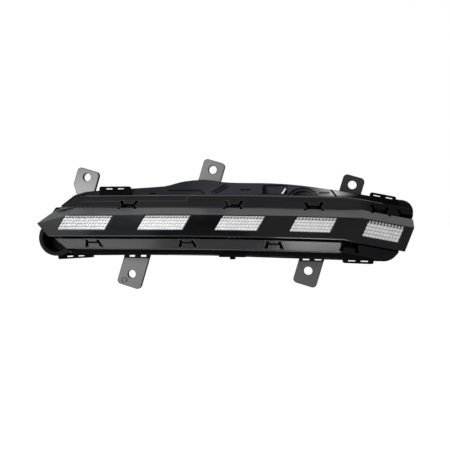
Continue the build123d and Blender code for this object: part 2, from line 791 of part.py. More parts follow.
def housing_outline():
    """Front outline of the housing: stepped left end, humped top and rounded right end."""
    hump = Spline(*HUMP_POINTS)
    rest = Polyline(HUMP_POINTS[-1], *HOUSING_POINTS, HUMP_POINTS[0])
    face = make_face([hump, rest])
    top = face.vertices().sort_by_distance(HOUSING_TOP_POINT)[0]
    face = fillet(top, HOUSING_TOP_CORNER)
    foot = face.vertices().sort_by_distance(HOUSING_FOOT_POINT)[0]
    return fillet(foot, HOUSING_FOOT_CORNER)


def make_tab(x, z, side, width, end):
    """Flat leaning tab with a hole, rounded at its free corners."""
    plate = Pos(0, (end - TAB_ROOT) / 2) * Rectangle(width, end + TAB_ROOT)
    plate = fillet(plate.vertices().group_by(Axis.Y)[-1], TAB_CORNER)
    plate -= Circle(TAB_HOLE / 2)
    turn = -TAB_LEAN if side > 0 else 180.0 - TAB_LEAN
    return prism(Pos(x, z) * Rot(0, 0, turn) * plate, 0.0, TAB_THICK)


def tab_cut(x, z):
    """Slanted cut at the outer root of a tab."""
    corner = Pos(TAB_CUT_X, TAB_CUT_Y) * Rot(0, 0, -TAB_CUT_ANGLE) * Pos(-TAB_ROOT / 2, -TAB_ROOT / 2)
    face = Pos(x, z) * Rot(0, 0, -TAB_LEAN) * corner * Rectangle(TAB_ROOT, TAB_ROOT)
    return prism(face, 0.0, TAB_THICK)


def ahead_of_housing(inset):
    """Everything in front of the housing's front face, which follows the bar, drawn in by a wall."""
    section = block(2 * FACE_Y, HOUSING_FRONT + inset, FACE_Y, -FACE_Y)
    return run(section, 2 * PATH_FIRST, 2 * PATH_LAST)


def hump_line(y, inset=0.0):
    """Height of the hump's sloped face at a depth, drawn in by a wall."""
    rise = math.tan(math.radians(HUMP_SLOPE))
    return HUMP_FOOT + rise * (y - HOUSING_FRONT) - inset * math.hypot(1.0, rise)


def ahead_of_hump(inset):
    """Everything in front of the hump's sloped face, drawn in by a wall."""
    near = HOUSING_FRONT - HOUSING_WALL
    rise = math.tan(math.radians(HUMP_SLOPE))
    high = 2 * BAR_DROP
    far = HOUSING_FRONT + (high - hump_line(HOUSING_FRONT, inset)) / rise
    side = polygon((near, hump_line(near, inset)), (near, high), (far, high))
    return extrude(across(PATH_FIRST) * side, amount=PATH_LAST - PATH_FIRST)


def hump_hollow(outline, floor):
    """Room for the driver board inside the hump, behind its sloped face and its recess."""
    front = HOUSING_FRONT + GROOVE_DEPTH + HOUSING_WALL
    room = prism(Pos(0, -HOUSING_WALL) * outline, front, floor)
    low = FRAME_TOP - 2 * FLANGE_WIDTH
    span = Rectangle(HUMP_LAST - HUMP_FIRST, 2 * (BAR_DROP - low))
    room &= prism(Pos((HUMP_FIRST + HUMP_LAST) / 2, BAR_DROP) * span, front, floor)
    room -= ahead_of_hump(HOUSING_WALL)
    return room - recess_box(HOUSING_WALL) - arch_recess(HOUSING_WALL)


def recess_box(margin):
    """Rectangular recess in the hump's sloped face, grown by a margin."""
    height = RECESS_TOP - HUMP_FOOT + margin
    face = Pos(RECESS_X, HUMP_FOOT + height / 2) * Rectangle(RECESS_LENGTH + 2 * margin, height)
    return prism(face, HOUSING_FRONT - HOUSING_WALL, RECESS_FLOOR + margin)


def over_frame(station, face, sill, back):
    """The part of a front outline that shows over the frame's edge, carried to a depth."""
    above = Pos(0, FRAME_TOP + sill + ARCH_RADIUS) * Rectangle(4 * ARCH_RADIUS, 2 * ARCH_RADIUS)
    return unit_prism(station, face & above, HOUSING_FRONT - HOUSING_WALL, back)


def arch_recess(margin):
    """Half round recess inside the arched groove, grown by a margin."""
    disc = Pos(0, ARCH_Z) * Circle(ARCH_RADIUS - ARCH_GROOVE - ARCH_BAND + margin)
    return over_frame(ARCH_STATION, disc, ARCH_SILL - margin, ARCH_FLOOR + margin)


def hump_marks():
    """Arched groove, small slots and thin lines sunk into the hump's sloped face."""
    ring = Pos(0, ARCH_Z) * (Circle(ARCH_RADIUS) - Circle(ARCH_RADIUS - ARCH_GROOVE))
    marks = trace(Polyline(*LEDGE_POINTS), LINE_WIDTH) + trace(Polyline(*SEAM_POINTS), LINE_WIDTH)
    for x, z, length in SLOT_MARKS:
        marks += Pos(x, z) * Rectangle(length, SLOT_HEIGHT)
    cutters = prism(marks, HOUSING_FRONT - HOUSING_WALL, TAB_THICK)
    cutters += over_frame(ARCH_STATION, ring, 0.0, TAB_THICK)
    return cutters & (ahead_of_hump(MARK_DEPTH) + ahead_of_housing(MARK_DEPTH))


def recess_lug():
    """Leaning lug on the floor of the rectangular recess."""
    face = Pos(LUG_X, LUG_Z) * Rot(0, 0, -LUG_LEAN) * Rectangle(LUG_THICK, LUG_LENGTH)
    return prism(face, HOUSING_FRONT, RECESS_FLOOR) - ahead_of_hump(0.0)


def hump_ribs(outline):
    """Two slanted ribs that stand a little proud of the hump's sloped face."""
    bars = Sketch()
    for x, z in RIB_MIDDLES:
        bars += Pos(x, z) * Rot(0, 0, RIB_ANGLE) * Rectangle(RIB_LENGTH, RIB_THICK)
    above = Pos(0, HUMP_FOOT + BAR_DROP) * Rectangle(2 * BAR_DROP, 2 * BAR_DROP)
    ribs = prism(bars & outline & above, HOUSING_FRONT - HOUSING_WALL, RECESS_FLOOR)
    return ribs - ahead_of_hump(-RIB_PROUD)


def crash_slots(x, z, edge):
    """Two slots at the root of a lower tab, so that it breaks off in a knock."""
    middle = x - (z - edge) * math.tan(math.radians(TAB_LEAN))
    slots = Sketch()
    for step in (-0.5, 0.5):
        place = Pos(middle + step * CRASH_SLOT_SPACING, edge - CRASH_SLOT_HEIGHT / 2)
        slots += place * Rectangle(CRASH_SLOT_LENGTH, CRASH_SLOT_HEIGHT)
    return prism(slots, 0.0, TAB_THICK)


def make_rear_housing():
    """Moulded tub with the hump, the end cup, five tabs and the bosses inside."""
    outline = housing_outline()
    floor = HOUSING_BACK - HOUSING_WALL
    body = prism(outline, FACE_Y, HOUSING_BACK) - ahead_of_housing(0.0) - ahead_of_hump(0.0)
    for tab in TABS:
        body += make_tab(*tab)
    for tab in CRASH_TABS:
        body -= crash_slots(*tab)
    body -= tab_cut(*TABS[0][:2]) - prism(outline, 0.0, TAB_THICK)
    body += hump_ribs(outline)
    rim = Pos(LOBE_X, LOBE_Z) * Circle(LOBE_RADIUS)
    well = Pos(LOBE_X, LOBE_Z) * Circle(LOBE_RADIUS - LOBE_WALL)
    body += prism(rim, LOBE_FRONT, TAB_THICK) - prism(end_outline(BAR_GAP), FACE_Y, HOUSING_FRONT)
    body -= prism(well, LOBE_FRONT, LOBE_FLOOR) - prism(end_outline(BAR_GAP), FACE_Y, HOUSING_BACK)
    for latch in LATCHES:
        body -= latch_room(*latch)
    mouth = block(FRAME_BACK, floor, FRAME_BOTTOM + FLANGE_WIDTH, FRAME_TOP - FLANGE_WIDTH)
    body -= along_frame(mouth, -FLANGE_WIDTH, floor)
    body -= hump_hollow(outline, floor)
    body -= seal_ring(2 * FRAME_BACK - HOUSING_FRONT, HOUSING_FRONT + GROOVE_DEPTH)
    body -= recess_box(0.0)
    body += recess_lug()
    body -= arch_recess(0.0)
    body -= hump_marks()
    ejector = Circle(EJECTOR_RADIUS) - Circle(EJECTOR_RADIUS - EJECTOR_RING)
    body -= prism(Pos(EJECTOR_X, EJECTOR_Z) * ejector, 0.0, EJECTOR_DEPTH)
    tub = prism(outline, FACE_Y, HOUSING_BACK - HOUSING_WALL / 2)
    for station in STRIP_SCREW_STATIONS:
        body += plug(station, 0, LED_HEIGHT, BOSS_DIAMETER, STRIP_BACK + CURVE_PLAY, -STRIP_BACK) & tub
        body -= plug(station, 0, LED_HEIGHT, SCREW_SHANK, STRIP_BACK, STRIP_BACK + SCREW_LENGTH)
    for side in (-0.5, 0.5):
        place = Pos(DRIVER_X + side * DRIVER_SCREW_SPACING, DRIVER_Z)
        body += prism(place * Circle(BOSS_DIAMETER / 2), DRIVER_Y + DRIVER_THICK, HOUSING_BACK)
        body -= prism(place * Circle(SCREW_SHANK / 2), DRIVER_Y, DRIVER_Y + DRIVER_SCREW_LENGTH)
    back_rib = Rectangle(BACK_RIB_THICK, BACK_RIB_HEIGHT)
    for x in BACK_RIB_STATIONS:
        body += prism(Pos(x, 0) * back_rib, floor, HOUSING_BACK + BACK_RIB_RISE)
    body -= prism(inlet_face(INLET_NECK, INLET_GAP), DRIVER_Y, HOUSING_BACK)
    spigot = Pos(VENT_X, VENT_Z) * Circle(VENT_SPIGOT / 2)
    bore = Pos(VENT_X, VENT_Z) * Circle(VENT_SPIGOT / 2 - VENT_WALL)
    body += prism(spigot, floor, HOUSING_BACK + VENT_SPIGOT_LENGTH)
    return body - prism(bore, floor - VENT_WALL, HOUSING_BACK + VENT_SPIGOT_LENGTH)


# Driver board


def make_driver_board():
    """Circuit board of the lamp driver, on two bosses in the hump."""
    face = Pos(DRIVER_X, DRIVER_Z) * Rectangle(DRIVER_LENGTH, DRIVER_HEIGHT)
    for side in (-0.5, 0.5):
        hole = Circle((SCREW_SHANK + SCREW_CLEARANCE) / 2)
        face -= Pos(DRIVER_X + side * DRIVER_SCREW_SPACING, DRIVER_Z) * hole
    return prism(face, DRIVER_Y, DRIVER_Y + DRIVER_THICK)


def make_driver_screw(side):
    """Screw that holds the driver board on a boss."""
    place = Pos(DRIVER_X + side * DRIVER_SCREW_SPACING, DRIVER_Z)
    head = prism(place * Circle(SCREW_HEAD / 2), DRIVER_Y - SCREW_HEAD_THICK, DRIVER_Y)
    return head + prism(place * Circle(SCREW_SHANK / 2), DRIVER_Y, DRIVER_Y + DRIVER_SCREW_LENGTH)


def make_driver_coil():
    """Round choke on the driver board."""
    ring = Circle(COIL_DIAMETER / 2) - Circle(COIL_BORE / 2)
    return prism(Pos(DRIVER_X - COIL_DIAMETER, DRIVER_Z) * ring, DRIVER_Y - COIL_THICK, DRIVER_Y)


def make_capacitor(step):
    """Can capacitor on the driver board."""
    x = DRIVER_X + step * CAPACITOR_PITCH
    can = Pos(x, DRIVER_Z) * Circle(CAPACITOR_DIAMETER / 2)
    return prism(can, DRIVER_Y - CAPACITOR_LENGTH, DRIVER_Y)


# Connector inlet and breather


def inlet_face(inset, grow=0.0):
    """Rounded rectangular outline of the inlet, drawn in or grown."""
    change = 2 * (grow - inset)
    face = RectangleRounded(INLET_LENGTH + change, INLET_HEIGHT + change, INLET_WALL)
    return Pos(INLET_X, INLET_Z) * face


def pin_face(index):
    """Section of one contact blade."""
    x = INLET_X + (index - (PIN_COUNT - 1) / 2) * PIN_PITCH
    return Pos(x, INLET_Z) * Rectangle(PIN_WIDTH, PIN_THICK)


def make_connector_socket():
    """Inlet: a neck through the housing, a flange on its back and an open shroud."""
    seat = HOUSING_BACK + INLET_SEAL_THICK
    shoulder = seat + INLET_FLANGE_THICK
    socket = prism(inlet_face(INLET_NECK), HOUSING_BACK - 2 * HOUSING_WALL, seat)
    socket += prism(inlet_face(-INLET_FLANGE), seat, shoulder)
    socket += prism(inlet_face(0.0) - inlet_face(INLET_WALL), shoulder, shoulder + INLET_REACH)
    for index in range(PIN_COUNT):
        socket -= prism(pin_face(index), 0.0, shoulder)
    return socket


def make_connector_seal():
    """Rubber ring between the housing and the inlet's flange."""
    ring = inlet_face(-INLET_FLANGE / 2) - inlet_face(INLET_NECK)
    return prism(ring, HOUSING_BACK, HOUSING_BACK + INLET_SEAL_THICK)


def make_pin(index):
    """One contact blade."""
    front = HOUSING_BACK - 2 * HOUSING_WALL - PIN_WIDTH
    return prism(pin_face(index), front, front + PIN_LENGTH)


def make_vent_cap():
    """Rubber cap over the breather spigot."""
    front = HOUSING_BACK + VENT_WALL
    top = HOUSING_BACK + VENT_SPIGOT_LENGTH
    cap = prism(Circle(VENT_CAP / 2), front, front + VENT_CAP_THICK)
    cap -= prism(Circle(VENT_SPIGOT / 2), front, top)
    return Pos(VENT_X, 0, VENT_Z) * cap


# Nodes


def lamp_nodes():
    """Every piece of the lamp by its name."""
    nodes = {
        "rear_housing": make_rear_housing(),
        "front_frame": make_front_frame(),
        "bar_bezel": make_bar_bezel(),
        "lens_strip": make_lens_strip(),
        "heat_strip": make_heat_strip(),
        "housing_seal": seal_ring(FRAME_BACK, HOUSING_FRONT + GROOVE_DEPTH),
        "driver_board": make_driver_board(),
        "driver_coil": make_driver_coil(),
        "driver_capacitors": Compound([make_capacitor(step) for step in (0, 1, 2)]),
        "driver_screws": Compound([make_driver_screw(side) for side in (-0.5, 0.5)]),
        "connector_socket": make_connector_socket(),
        "connector_seal": make_connector_seal(),
        "connector_pins": Compound([make_pin(index) for index in range(PIN_COUNT)]),
        "vent_cap": make_vent_cap(),
        "strip_screws": Compound([make_strip_screw(station) for station in STRIP_SCREW_STATIONS]),
    }
    chips = []
    rivets = []
    for number, window in enumerate(WINDOWS, start=1):
        station = window[0]
        nodes[f"reflector_{number}"] = make_reflector(window)
        nodes[f"led_board_{number}"] = make_board(station)
        chip = Pos(0, LED_HEIGHT) * Rectangle(LED_SIZE, LED_SIZE)
        chips.append(unit_prism(station, chip, BOARD_FRONT - LED_THICK, BOARD_FRONT))
        for side in (-0.5, 0.5):
            rivets.append(make_rivet(station, side * RIVET_SPACING))
    nodes["led_chips"] = Compound(chips)
    nodes["board_rivets"] = Compound(rivets)
    return nodes


def main():
    os.makedirs("parts", exist_ok=True)
    for name, piece in lamp_nodes().items():
        export_step(Pos(0, 0, -BAR_DROP) * piece, f"parts/{name}.step")


if __name__ == "__main__":
    main()
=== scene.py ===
# %% [markdown]
# # Daytime running light
# The lamp comes from CAD as separate solids at their real size and in their real places. This
# lesson dresses them for a studio picture. It sets up the camera and the light, builds one
# finish for every material of the lamp, and models the clear lens pads and some thin trim.
# No solid is moved or reshaped, so every finish and every new piece fits where it stands.

# %% Load the lamp
import math

import bpy
from mathutils import Matrix, Vector


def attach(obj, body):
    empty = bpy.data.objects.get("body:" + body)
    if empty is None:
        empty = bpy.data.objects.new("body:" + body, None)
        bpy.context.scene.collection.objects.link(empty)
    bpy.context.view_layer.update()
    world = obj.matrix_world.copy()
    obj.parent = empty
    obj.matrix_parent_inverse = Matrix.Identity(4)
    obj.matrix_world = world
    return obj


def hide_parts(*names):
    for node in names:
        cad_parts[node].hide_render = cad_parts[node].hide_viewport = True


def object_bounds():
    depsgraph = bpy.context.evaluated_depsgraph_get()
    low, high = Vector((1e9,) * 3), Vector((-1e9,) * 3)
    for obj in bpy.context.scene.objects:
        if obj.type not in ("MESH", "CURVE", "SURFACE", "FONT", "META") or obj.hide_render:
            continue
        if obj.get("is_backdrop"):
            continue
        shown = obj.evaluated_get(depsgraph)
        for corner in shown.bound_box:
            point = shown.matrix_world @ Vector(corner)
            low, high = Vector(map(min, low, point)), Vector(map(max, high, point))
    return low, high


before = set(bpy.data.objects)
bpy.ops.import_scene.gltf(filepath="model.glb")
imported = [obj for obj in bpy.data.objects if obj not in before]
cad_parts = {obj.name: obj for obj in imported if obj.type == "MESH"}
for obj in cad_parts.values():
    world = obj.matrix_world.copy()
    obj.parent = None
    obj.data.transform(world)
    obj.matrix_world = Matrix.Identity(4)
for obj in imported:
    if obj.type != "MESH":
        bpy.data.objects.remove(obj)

MM = 0.001
cad_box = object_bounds()
lamp_size = cad_box[1] - cad_box[0]
print("solids:", len(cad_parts), "size in mm:", [round(side / MM, 1) for side in lamp_size])

# %% [markdown]
# ## The photographer's place
# The lamp was photographed level with the light bar, from a little to the right of its middle.
# A camera can be placed by eye, but it is surer to work it out. The focal length in pixels says
# how large things appear, and the sensor width turns it into millimetres of lens. The level
# view keeps upright edges upright without any lens shift.

# %% Camera
PHOTO_SIDE_PIXELS = 450
FOCAL_PIXELS = 699
SENSOR_WIDTH = 36.0
CAMERA_PLACE = Vector((111.1, -662.9, -53.1)) * MM
CAMERA_AIM = Vector((15.0, -20.0, -53.1)) * MM


def looking(place, aim):
    """Rotation of a camera or a lamp that stands at one point and faces another."""
    return (aim - place).to_track_quat("-Z", "Y").to_euler()


photo_camera = bpy.data.objects.new("photo_camera", bpy.data.cameras.new("photo_camera"))
photo_camera.data.sensor_width = SENSOR_WIDTH
photo_camera.data.lens = SENSOR_WIDTH * FOCAL_PIXELS / PHOTO_SIDE_PIXELS
photo_camera.location = CAMERA_PLACE
photo_camera.rotation_euler = looking(CAMERA_PLACE, CAMERA_AIM)
bpy.context.scene.collection.objects.link(photo_camera)
bpy.context.scene.camera = photo_camera
bpy.context.scene.view_settings.view_transform = "Standard"
print("lens in mm:", round(photo_camera.data.lens, 2))

# %% [markdown]
# ## Sums with sockets
# A shader is a graph of nodes. Written link by link it is hard to read, so two small classes
# let Python do it. A Wire is an output socket that takes part in sums: every operator adds one
# Math node. A NodeGraph adds any other node from its type, its settings and its sockets.

# %% Wire and NodeGraph


class Wire:
    """An output socket that Python can do sums with."""

    def __init__(self, graph, socket):
        self.graph = graph
        self.socket = socket

    def other(self, name):
        """Another output of the same node."""
        return Wire(self.graph, self.socket.node.outputs[name])

    def sum_node(self, operation, *terms):
        """A Math node on some terms."""
        return self.graph.node("ShaderNodeMath", {"operation": operation}, dict(enumerate(terms)))

    def __add__(self, term):
        return self.sum_node("ADD", self, term)

    def __sub__(self, term):
        return self.sum_node("SUBTRACT", self, term)

    def __rsub__(self, term):
        return self.sum_node("SUBTRACT", term, self)

    def __mul__(self, term):
        return self.sum_node("MULTIPLY", self, term)

    def __mod__(self, term):
        return self.sum_node("FLOORED_MODULO", self, term)

    def __pow__(self, term):
        return self.sum_node("POWER", self, term)

    def __gt__(self, term):
        return self.sum_node("GREATER_THAN", self, term)

    def __lt__(self, term):
        return self.sum_node("LESS_THAN", self, term)

    def __abs__(self):
        return self.sum_node("ABSOLUTE", self)

    __radd__ = __add__
    __rmul__ = __mul__


class NodeGraph:
    """A node tree with one method that adds a node of any type."""

    def __init__(self, tree):
        self.tree = tree
        tree.nodes.clear()

    def node(self, kind, settings=None, sockets=None, output=0):
        """A new node with its settings and sockets, as the wire of one of its outputs."""
        made = self.tree.nodes.new(kind)
        for name, value in (settings or {}).items():
            setattr(made, name, value)
        for name, value in (sockets or {}).items():
            if isinstance(value, Wire):
                self.tree.links.new(value.socket, made.inputs[name])
            else:
                made.inputs[name].default_value = value
        return Wire(self, made.outputs[output]) if made.outputs else None


print("node helpers ready")

# %% [markdown]
# ## Starting a finish
# Every material starts as an empty graph and ends in an output node. Colours don't go through
# Math nodes, which would turn them grey. They go through the Mix node, which fades one colour
# into another. Its colour sockets share their names with others, so they go by number.

# %% New materials
MIX_FIRST = 6
MIX_SECOND = 7
MIX_RESULT = 2


def start_finish(name):
    """A new material with an empty graph."""
    material = bpy.data.materials.new(name)
    material.use_nodes = True
    return material, NodeGraph(material.node_tree)


def end_finish(material, graph, surface):
    """The material, with its output joined to a shader."""
    graph.node("ShaderNodeOutputMaterial", {}, {"Surface": surface})
    return material


def colour_mix(graph, factor, first, second):
    """One colour fading into another."""
    settings = {"data_type": "RGBA", "clamp_factor": True}
    sockets = {0: factor, MIX_FIRST: first, MIX_SECOND: second}
    return graph.node("ShaderNodeMix", settings, sockets, MIX_RESULT)


print("material helpers ready")

# %% [markdown]
# ## A white studio
# The photograph has a plain white ground. More light would whiten it, but would bleach the lamp
# too. So the world is white to the camera, to mirrors and to clear plastic, and a softer grey
# to rough surfaces, and the lamp keeps some shade.

# %% World
WORLD_WHITE = (1.0, 1.0, 1.0, 1.0)
WORLD_FILL = (0.34, 0.34, 0.35, 1.0)
WORLD_STRENGTH = 1.0
ANY_RAY = 0.5


def seen_white(graph):
    """1 where the camera, a mirror or clear plastic looks, 0 for scattered light."""
    path = graph.node("ShaderNodeLightPath", output="Is Camera Ray")
    rays = path + path.other("Is Glossy Ray") + path.other("Is Transmission Ray")
    return rays > ANY_RAY


world = bpy.data.worlds.new("white_studio")
world.use_nodes = True
sky = NodeGraph(world.node_tree)
sky_colour = colour_mix(sky, seen_white(sky), WORLD_FILL, WORLD_WHITE)
sky_sockets = {"Color": sky_colour, "Strength": WORLD_STRENGTH}
sky_light = sky.node("ShaderNodeBackground", {}, sky_sockets)
sky.node("ShaderNodeOutputWorld", {}, {"Surface": sky_light})
bpy.context.scene.world = world
print("world:", world.name)

# %% [markdown]
# The floor lies well below, as under a lamp that hangs on its bracket, and it keeps the shadow.
# Plain white paper would turn grey away from the lamps. So it glows a little too, but only to
# the rays that see the world white, and rough surfaces get no more light from it.

# %% Floor
FLOOR_WHITE = (0.92, 0.92, 0.92, 1.0)
FLOOR_GLOW = 0.72
FLOOR_DROP = 330.0 * MM
FLOOR_SIDE = 160.0
SHEET_CORNERS = [(-0.5, -0.5), (0.5, -0.5), (0.5, 0.5), (-0.5, 0.5)]


def studio_sheet(name, width, depth, height, material):
    """A flat rectangle of studio paper at a height."""
    mesh = bpy.data.meshes.new(name)
    corners = [(x * width, y * depth, height) for x, y in SHEET_CORNERS]
    mesh.from_pydata(corners, [], [tuple(range(len(corners)))])
    mesh.materials.append(material)
    sheet = bpy.data.objects.new(name, mesh)
    bpy.context.scene.collection.objects.link(sheet)
    return sheet


floor_finish, paper = start_finish("studio_floor")
paper_matt = paper.node("ShaderNodeBsdfDiffuse", {}, {"Color": FLOOR_WHITE})
glow_sockets = {"Color": WORLD_WHITE, "Strength": seen_white(paper) * FLOOR_GLOW}
paper_glow = paper.node("ShaderNodeEmission", {}, glow_sockets)
paper_both = paper.node("ShaderNodeAddShader", {}, {0: paper_matt, 1: paper_glow})
end_finish(floor_finish, paper, paper_both)
floor_z = cad_box[0].z - FLOOR_DROP
studio_floor = studio_sheet("studio_floor", FLOOR_SIDE, FLOOR_SIDE, floor_z, floor_finish)
studio_floor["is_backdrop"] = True
print("floor height in mm:", round(floor_z / MM, 1))

# %% [markdown]
# ## Soft light
# Black plastic shows little of its own colour: what is seen on it is the studio in reflection.
# One even light would leave it flat, so the lamps are soft boxes, placed by what each face
# mirrors. The large one stands behind the camera at the upper left, where the left tabs mirror
# it fully and the right ones hardly at all, and a flat one below it greys the left end of the
# bar. Two lie low and put the sheen on the slanted sill. A long one hangs behind and above, and
# the bevel along the bar mirrors it.

# %% Soft boxes
LAMP_MIDDLE = Vector((0.0, 0.0, -53.0)) * MM
SOFT_BOXES = {
    "key_left": {"place": (-420.0, -640.0, 165.0), "size": (460.0, 390.0), "radiance": 11.0},
    "bar_left": {"place": (-500.0, -640.0, -55.0), "size": (360.0, 90.0), "radiance": 3.0},
    "sill_left": {"place": (-215.0, -25.0, -400.0), "size": (290.0, 190.0), "radiance": 3.8},
    "sill_right": {"place": (127.0, -25.0, -400.0), "size": (76.0, 190.0), "radiance": 16.5},
    "rim": {"place": (20.0, 490.0, 620.0), "size": (1300.0, 350.0), "radiance": 1.35},
}


def soft_box(name, place, size, radiance):
    """A rectangular lamp whose radiance is 1 where white paper would look white."""
    lamp = bpy.data.lights.new(name, "AREA")
    lamp.shape = "RECTANGLE"
    lamp.size = size[0] * MM
    lamp.size_y = size[1] * MM
    lamp.energy = radiance * math.pi * lamp.size * lamp.size_y
    box = bpy.data.objects.new(name, lamp)
    box.location = Vector(place) * MM
    box.rotation_euler = looking(box.location, LAMP_MIDDLE)
    box.visible_camera = False
    bpy.context.scene.collection.objects.link(box)


for name, settings in SOFT_BOXES.items():
    soft_box(name, **settings)
print("soft boxes:", ", ".join(SOFT_BOXES))

# %% [markdown]
# ## Black cards
# A face that should stay black could be painted darker, but then it would be too dark from
# every side. A photographer holds a black card at the place that the face mirrors. One stands
# behind the camera at the upper right for the right tabs, and one behind the camera for the
# middle of the bar.

# %% Cards
CARD_BLACK = (0.004, 0.004, 0.004, 1.0)
CARDS = {
    "card_tabs": {"place": (380.0, -740.0, 270.0), "size": (640.0, 560.0)},
    "card_bar": {"place": (-120.0, -740.0, -75.0), "size": (200.0, 90.0)},
}
card_paper, card_graph = start_finish("card_paper")
card_matt = card_graph.node("ShaderNodeBsdfDiffuse", {}, {"Color": CARD_BLACK})
end_finish(card_paper, card_graph, card_matt)


def black_card(name, place, size):
    """A black rectangle that faces the lamp and that the camera itself can't see."""
    card = studio_sheet(name, size[0] * MM, size[1] * MM, 0.0, card_paper)
    card.location = Vector(place) * MM
    card.rotation_euler = looking(card.location, LAMP_MIDDLE)
    card.visible_camera = False
    card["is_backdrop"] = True


for name, settings in CARDS.items():
    black_card(name, **settings)
print("cards:", ", ".join(CARDS))

# %% [markdown]
# ## Skins of plastic
# Every finish of the lamp is a Principled shader. What is the same all over, such as the
# strength of its mirror reflection, is a plain number on its socket. What varies is worked out
# by nodes and joins colour, roughness or the surface normal. The variation is noise, because
# real grain, haze and flow marks have no order, and it can be stretched along the lamp.

# %% Noise and skins
EVEN = (1.0, 1.0, 1.0)
PLAIN_DETAIL = 2.0
FINE_DETAIL = 3.0
NOISE_MIDDLE = (0.3, 0.7)


def mm(*lengths):
    """Lengths in millimetres as metres."""
    return tuple(length * MM for length in lengths)


def lamp_point(graph):
    """Where a point of the lamp is, as a vector in metres."""
    return graph.node("ShaderNodeTexCoord", output="Object")


def specks(graph, size, detail=PLAIN_DETAIL, stretch=EVEN):
    """Noise from 0 to 1 with features of a size in metres, stretched along the axes."""
    sockets = {0: lamp_point(graph), 1: stretch}
    point = graph.node("ShaderNodeVectorMath", {"operation": "DIVIDE"}, sockets)
    sockets = {"Vector": point, "Scale": 1.0 / size, "Detail": detail}
    return graph.node("ShaderNodeTexNoise", {}, sockets)


def ramp(graph, value, start, end, low=0.0, high=1.0):
    """A value carried from one range to another and held there beyond its ends."""
    sockets = {"Value": value, "From Min": start, "From Max": end, "To Min": low, "To Max": high}
    return graph.node("ShaderNodeMapRange", {"clamp": True}, sockets)


def spread(graph, noise, low=0.0, high=1.0):
    """Noise carried to a range, with its crowded middle stretched."""
    return ramp(graph, noise, *NOISE_MIDDLE, low, high)


def principled(graph, sockets):
    """A Principled shader."""
    return graph.node("ShaderNodeBsdfPrincipled", {}, sockets)


def skin(graph, colour, rough, shine, normal):
    """One skin of plastic, with the strength of its mirror reflection."""
    sockets = {"Base Color": colour, "Roughness": rough, "Normal": normal}
    sockets["Specular IOR Level"] = shine
    return principled(graph, sockets)


def two_skins(graph, mask, first, second):
    """One shader where a mask is 0 and another where it is 1."""
    return graph.node("ShaderNodeMixShader", {}, {0: mask, 1: first, 2: second})


def wear(material, *nodes):
    """Give a finish to CAD solids by their names."""
    for node in nodes:
        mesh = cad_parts[node].data
        mesh.materials.clear()
        mesh.materials.append(material)


print("skin helpers ready")

# %% [markdown]
# Moulded edges are never razor sharp. Rounding them in the mesh would take many faces, so the
# Bevel node rounds the normal at every edge instead, and grain is pressed into it by a Bump
# node. Where the rounded normal differs from the flat one there is an edge, and that makes a
# mask for wear, for painted highlights and for painted shade along the edges.

# %% Edges and relief
EDGE_RADIUS = 0.7 * MM
EDGE_SAMPLES = 6
EDGE_SHARP = 8.0


def rounded_normal(graph, radius=EDGE_RADIUS):
    """Normal with rounded edges."""
    return graph.node("ShaderNodeBevel", {"samples": EDGE_SAMPLES}, {"Radius": radius})


def edges(graph, radius=EDGE_RADIUS):
    """1 on the edges, 0 on the faces."""
    flat = graph.node("ShaderNodeNewGeometry", output="Normal")
    sockets = {0: rounded_normal(graph, radius), 1: flat}
    same = graph.node("ShaderNodeVectorMath", {"operation": "DOT_PRODUCT"}, sockets, "Value")
    return ramp(graph, (1.0 - same) * EDGE_SHARP, 0.0, 1.0)


def pressed(graph, height, depth, strength):
    """Normal with rounded edges and a relief of some depth in metres."""
    sockets = {"Strength": strength, "Distance": depth, "Height": height}
    sockets["Normal"] = rounded_normal(graph)
    return graph.node("ShaderNodeBump", {}, sockets)


print("edge radius in mm:", round(EDGE_RADIUS / MM, 2))

# %% [markdown]
# ## Rear housing
# The rear housing is grained polypropylene. Its walls are nearly black with a cool violet cast.
# In some places it is duller and darker as painted shade, and in others it is drier. One shader
# can't hold all this, because the strength of its mirror reflection is one number. So there are
# three skins, and masks mix them. A mask is made of comparisons: where a point lies, and which
# way its face looks.

# %% Where a point lies
SQUARE = 0.9


def part_of(graph, vector, axis):
    """One coordinate of a vector."""
    return graph.node("ShaderNodeSeparateXYZ", {}, {"Vector": vector}, axis)


def place_on(graph, axis):
    """One coordinate of a point of the lamp, in metres."""
    return part_of(graph, lamp_point(graph), axis)


def within(graph, axis, places):
    """1 between two places along an axis, 0 elsewhere."""
    place = place_on(graph, axis)
    return (place > places[0]) * (place < places[1])


def fade(graph, axis, places, low=0.0, high=1.0):
    """A value that goes from low to high between two places along an axis."""
    return ramp(graph, place_on(graph, axis), *places, low, high)


def face_look(graph, axis):
    """How far a face looks along an axis, from -1 to 1."""
    return part_of(graph, graph.node("ShaderNodeNewGeometry", output="True Normal"), axis)


def square_on(graph):
    """1 on faces square to the front or to the back, 0 elsewhere."""
    return abs(face_look(graph, "Y")) > SQUARE


print("mask helpers ready")

# %% [markdown]
# The right shoulder of the hump gets a painted highlight on both sides of a slanting crease,
# and the lug in the recess gets a painted glint. They could be pieces of their own, but on the
# lamp they belong to one moulding, so masks find them by their place and by the look of their
# faces.

# %% Painted highlights on the shoulder and the lug
TAB_DEPTHS = mm(-1.0, 5.5)
CREST_RIM = 1.4 * MM
SHOULDER_COME = mm(88.0, 114.0)
SHOULDER_GO = mm(117.0, 138.0)
SHOULDER_Z = mm(-28.4, -25.4)
SHOULDER_LOOK = -0.35
CREASE_X = 95.8 * MM
CREASE_SLOPE = 0.8
CREASE_HALF = mm(0.3, 1.2)
LUG_X = mm(65.5, 71.8)
LUG_Z = mm(-26.5, -17.0)


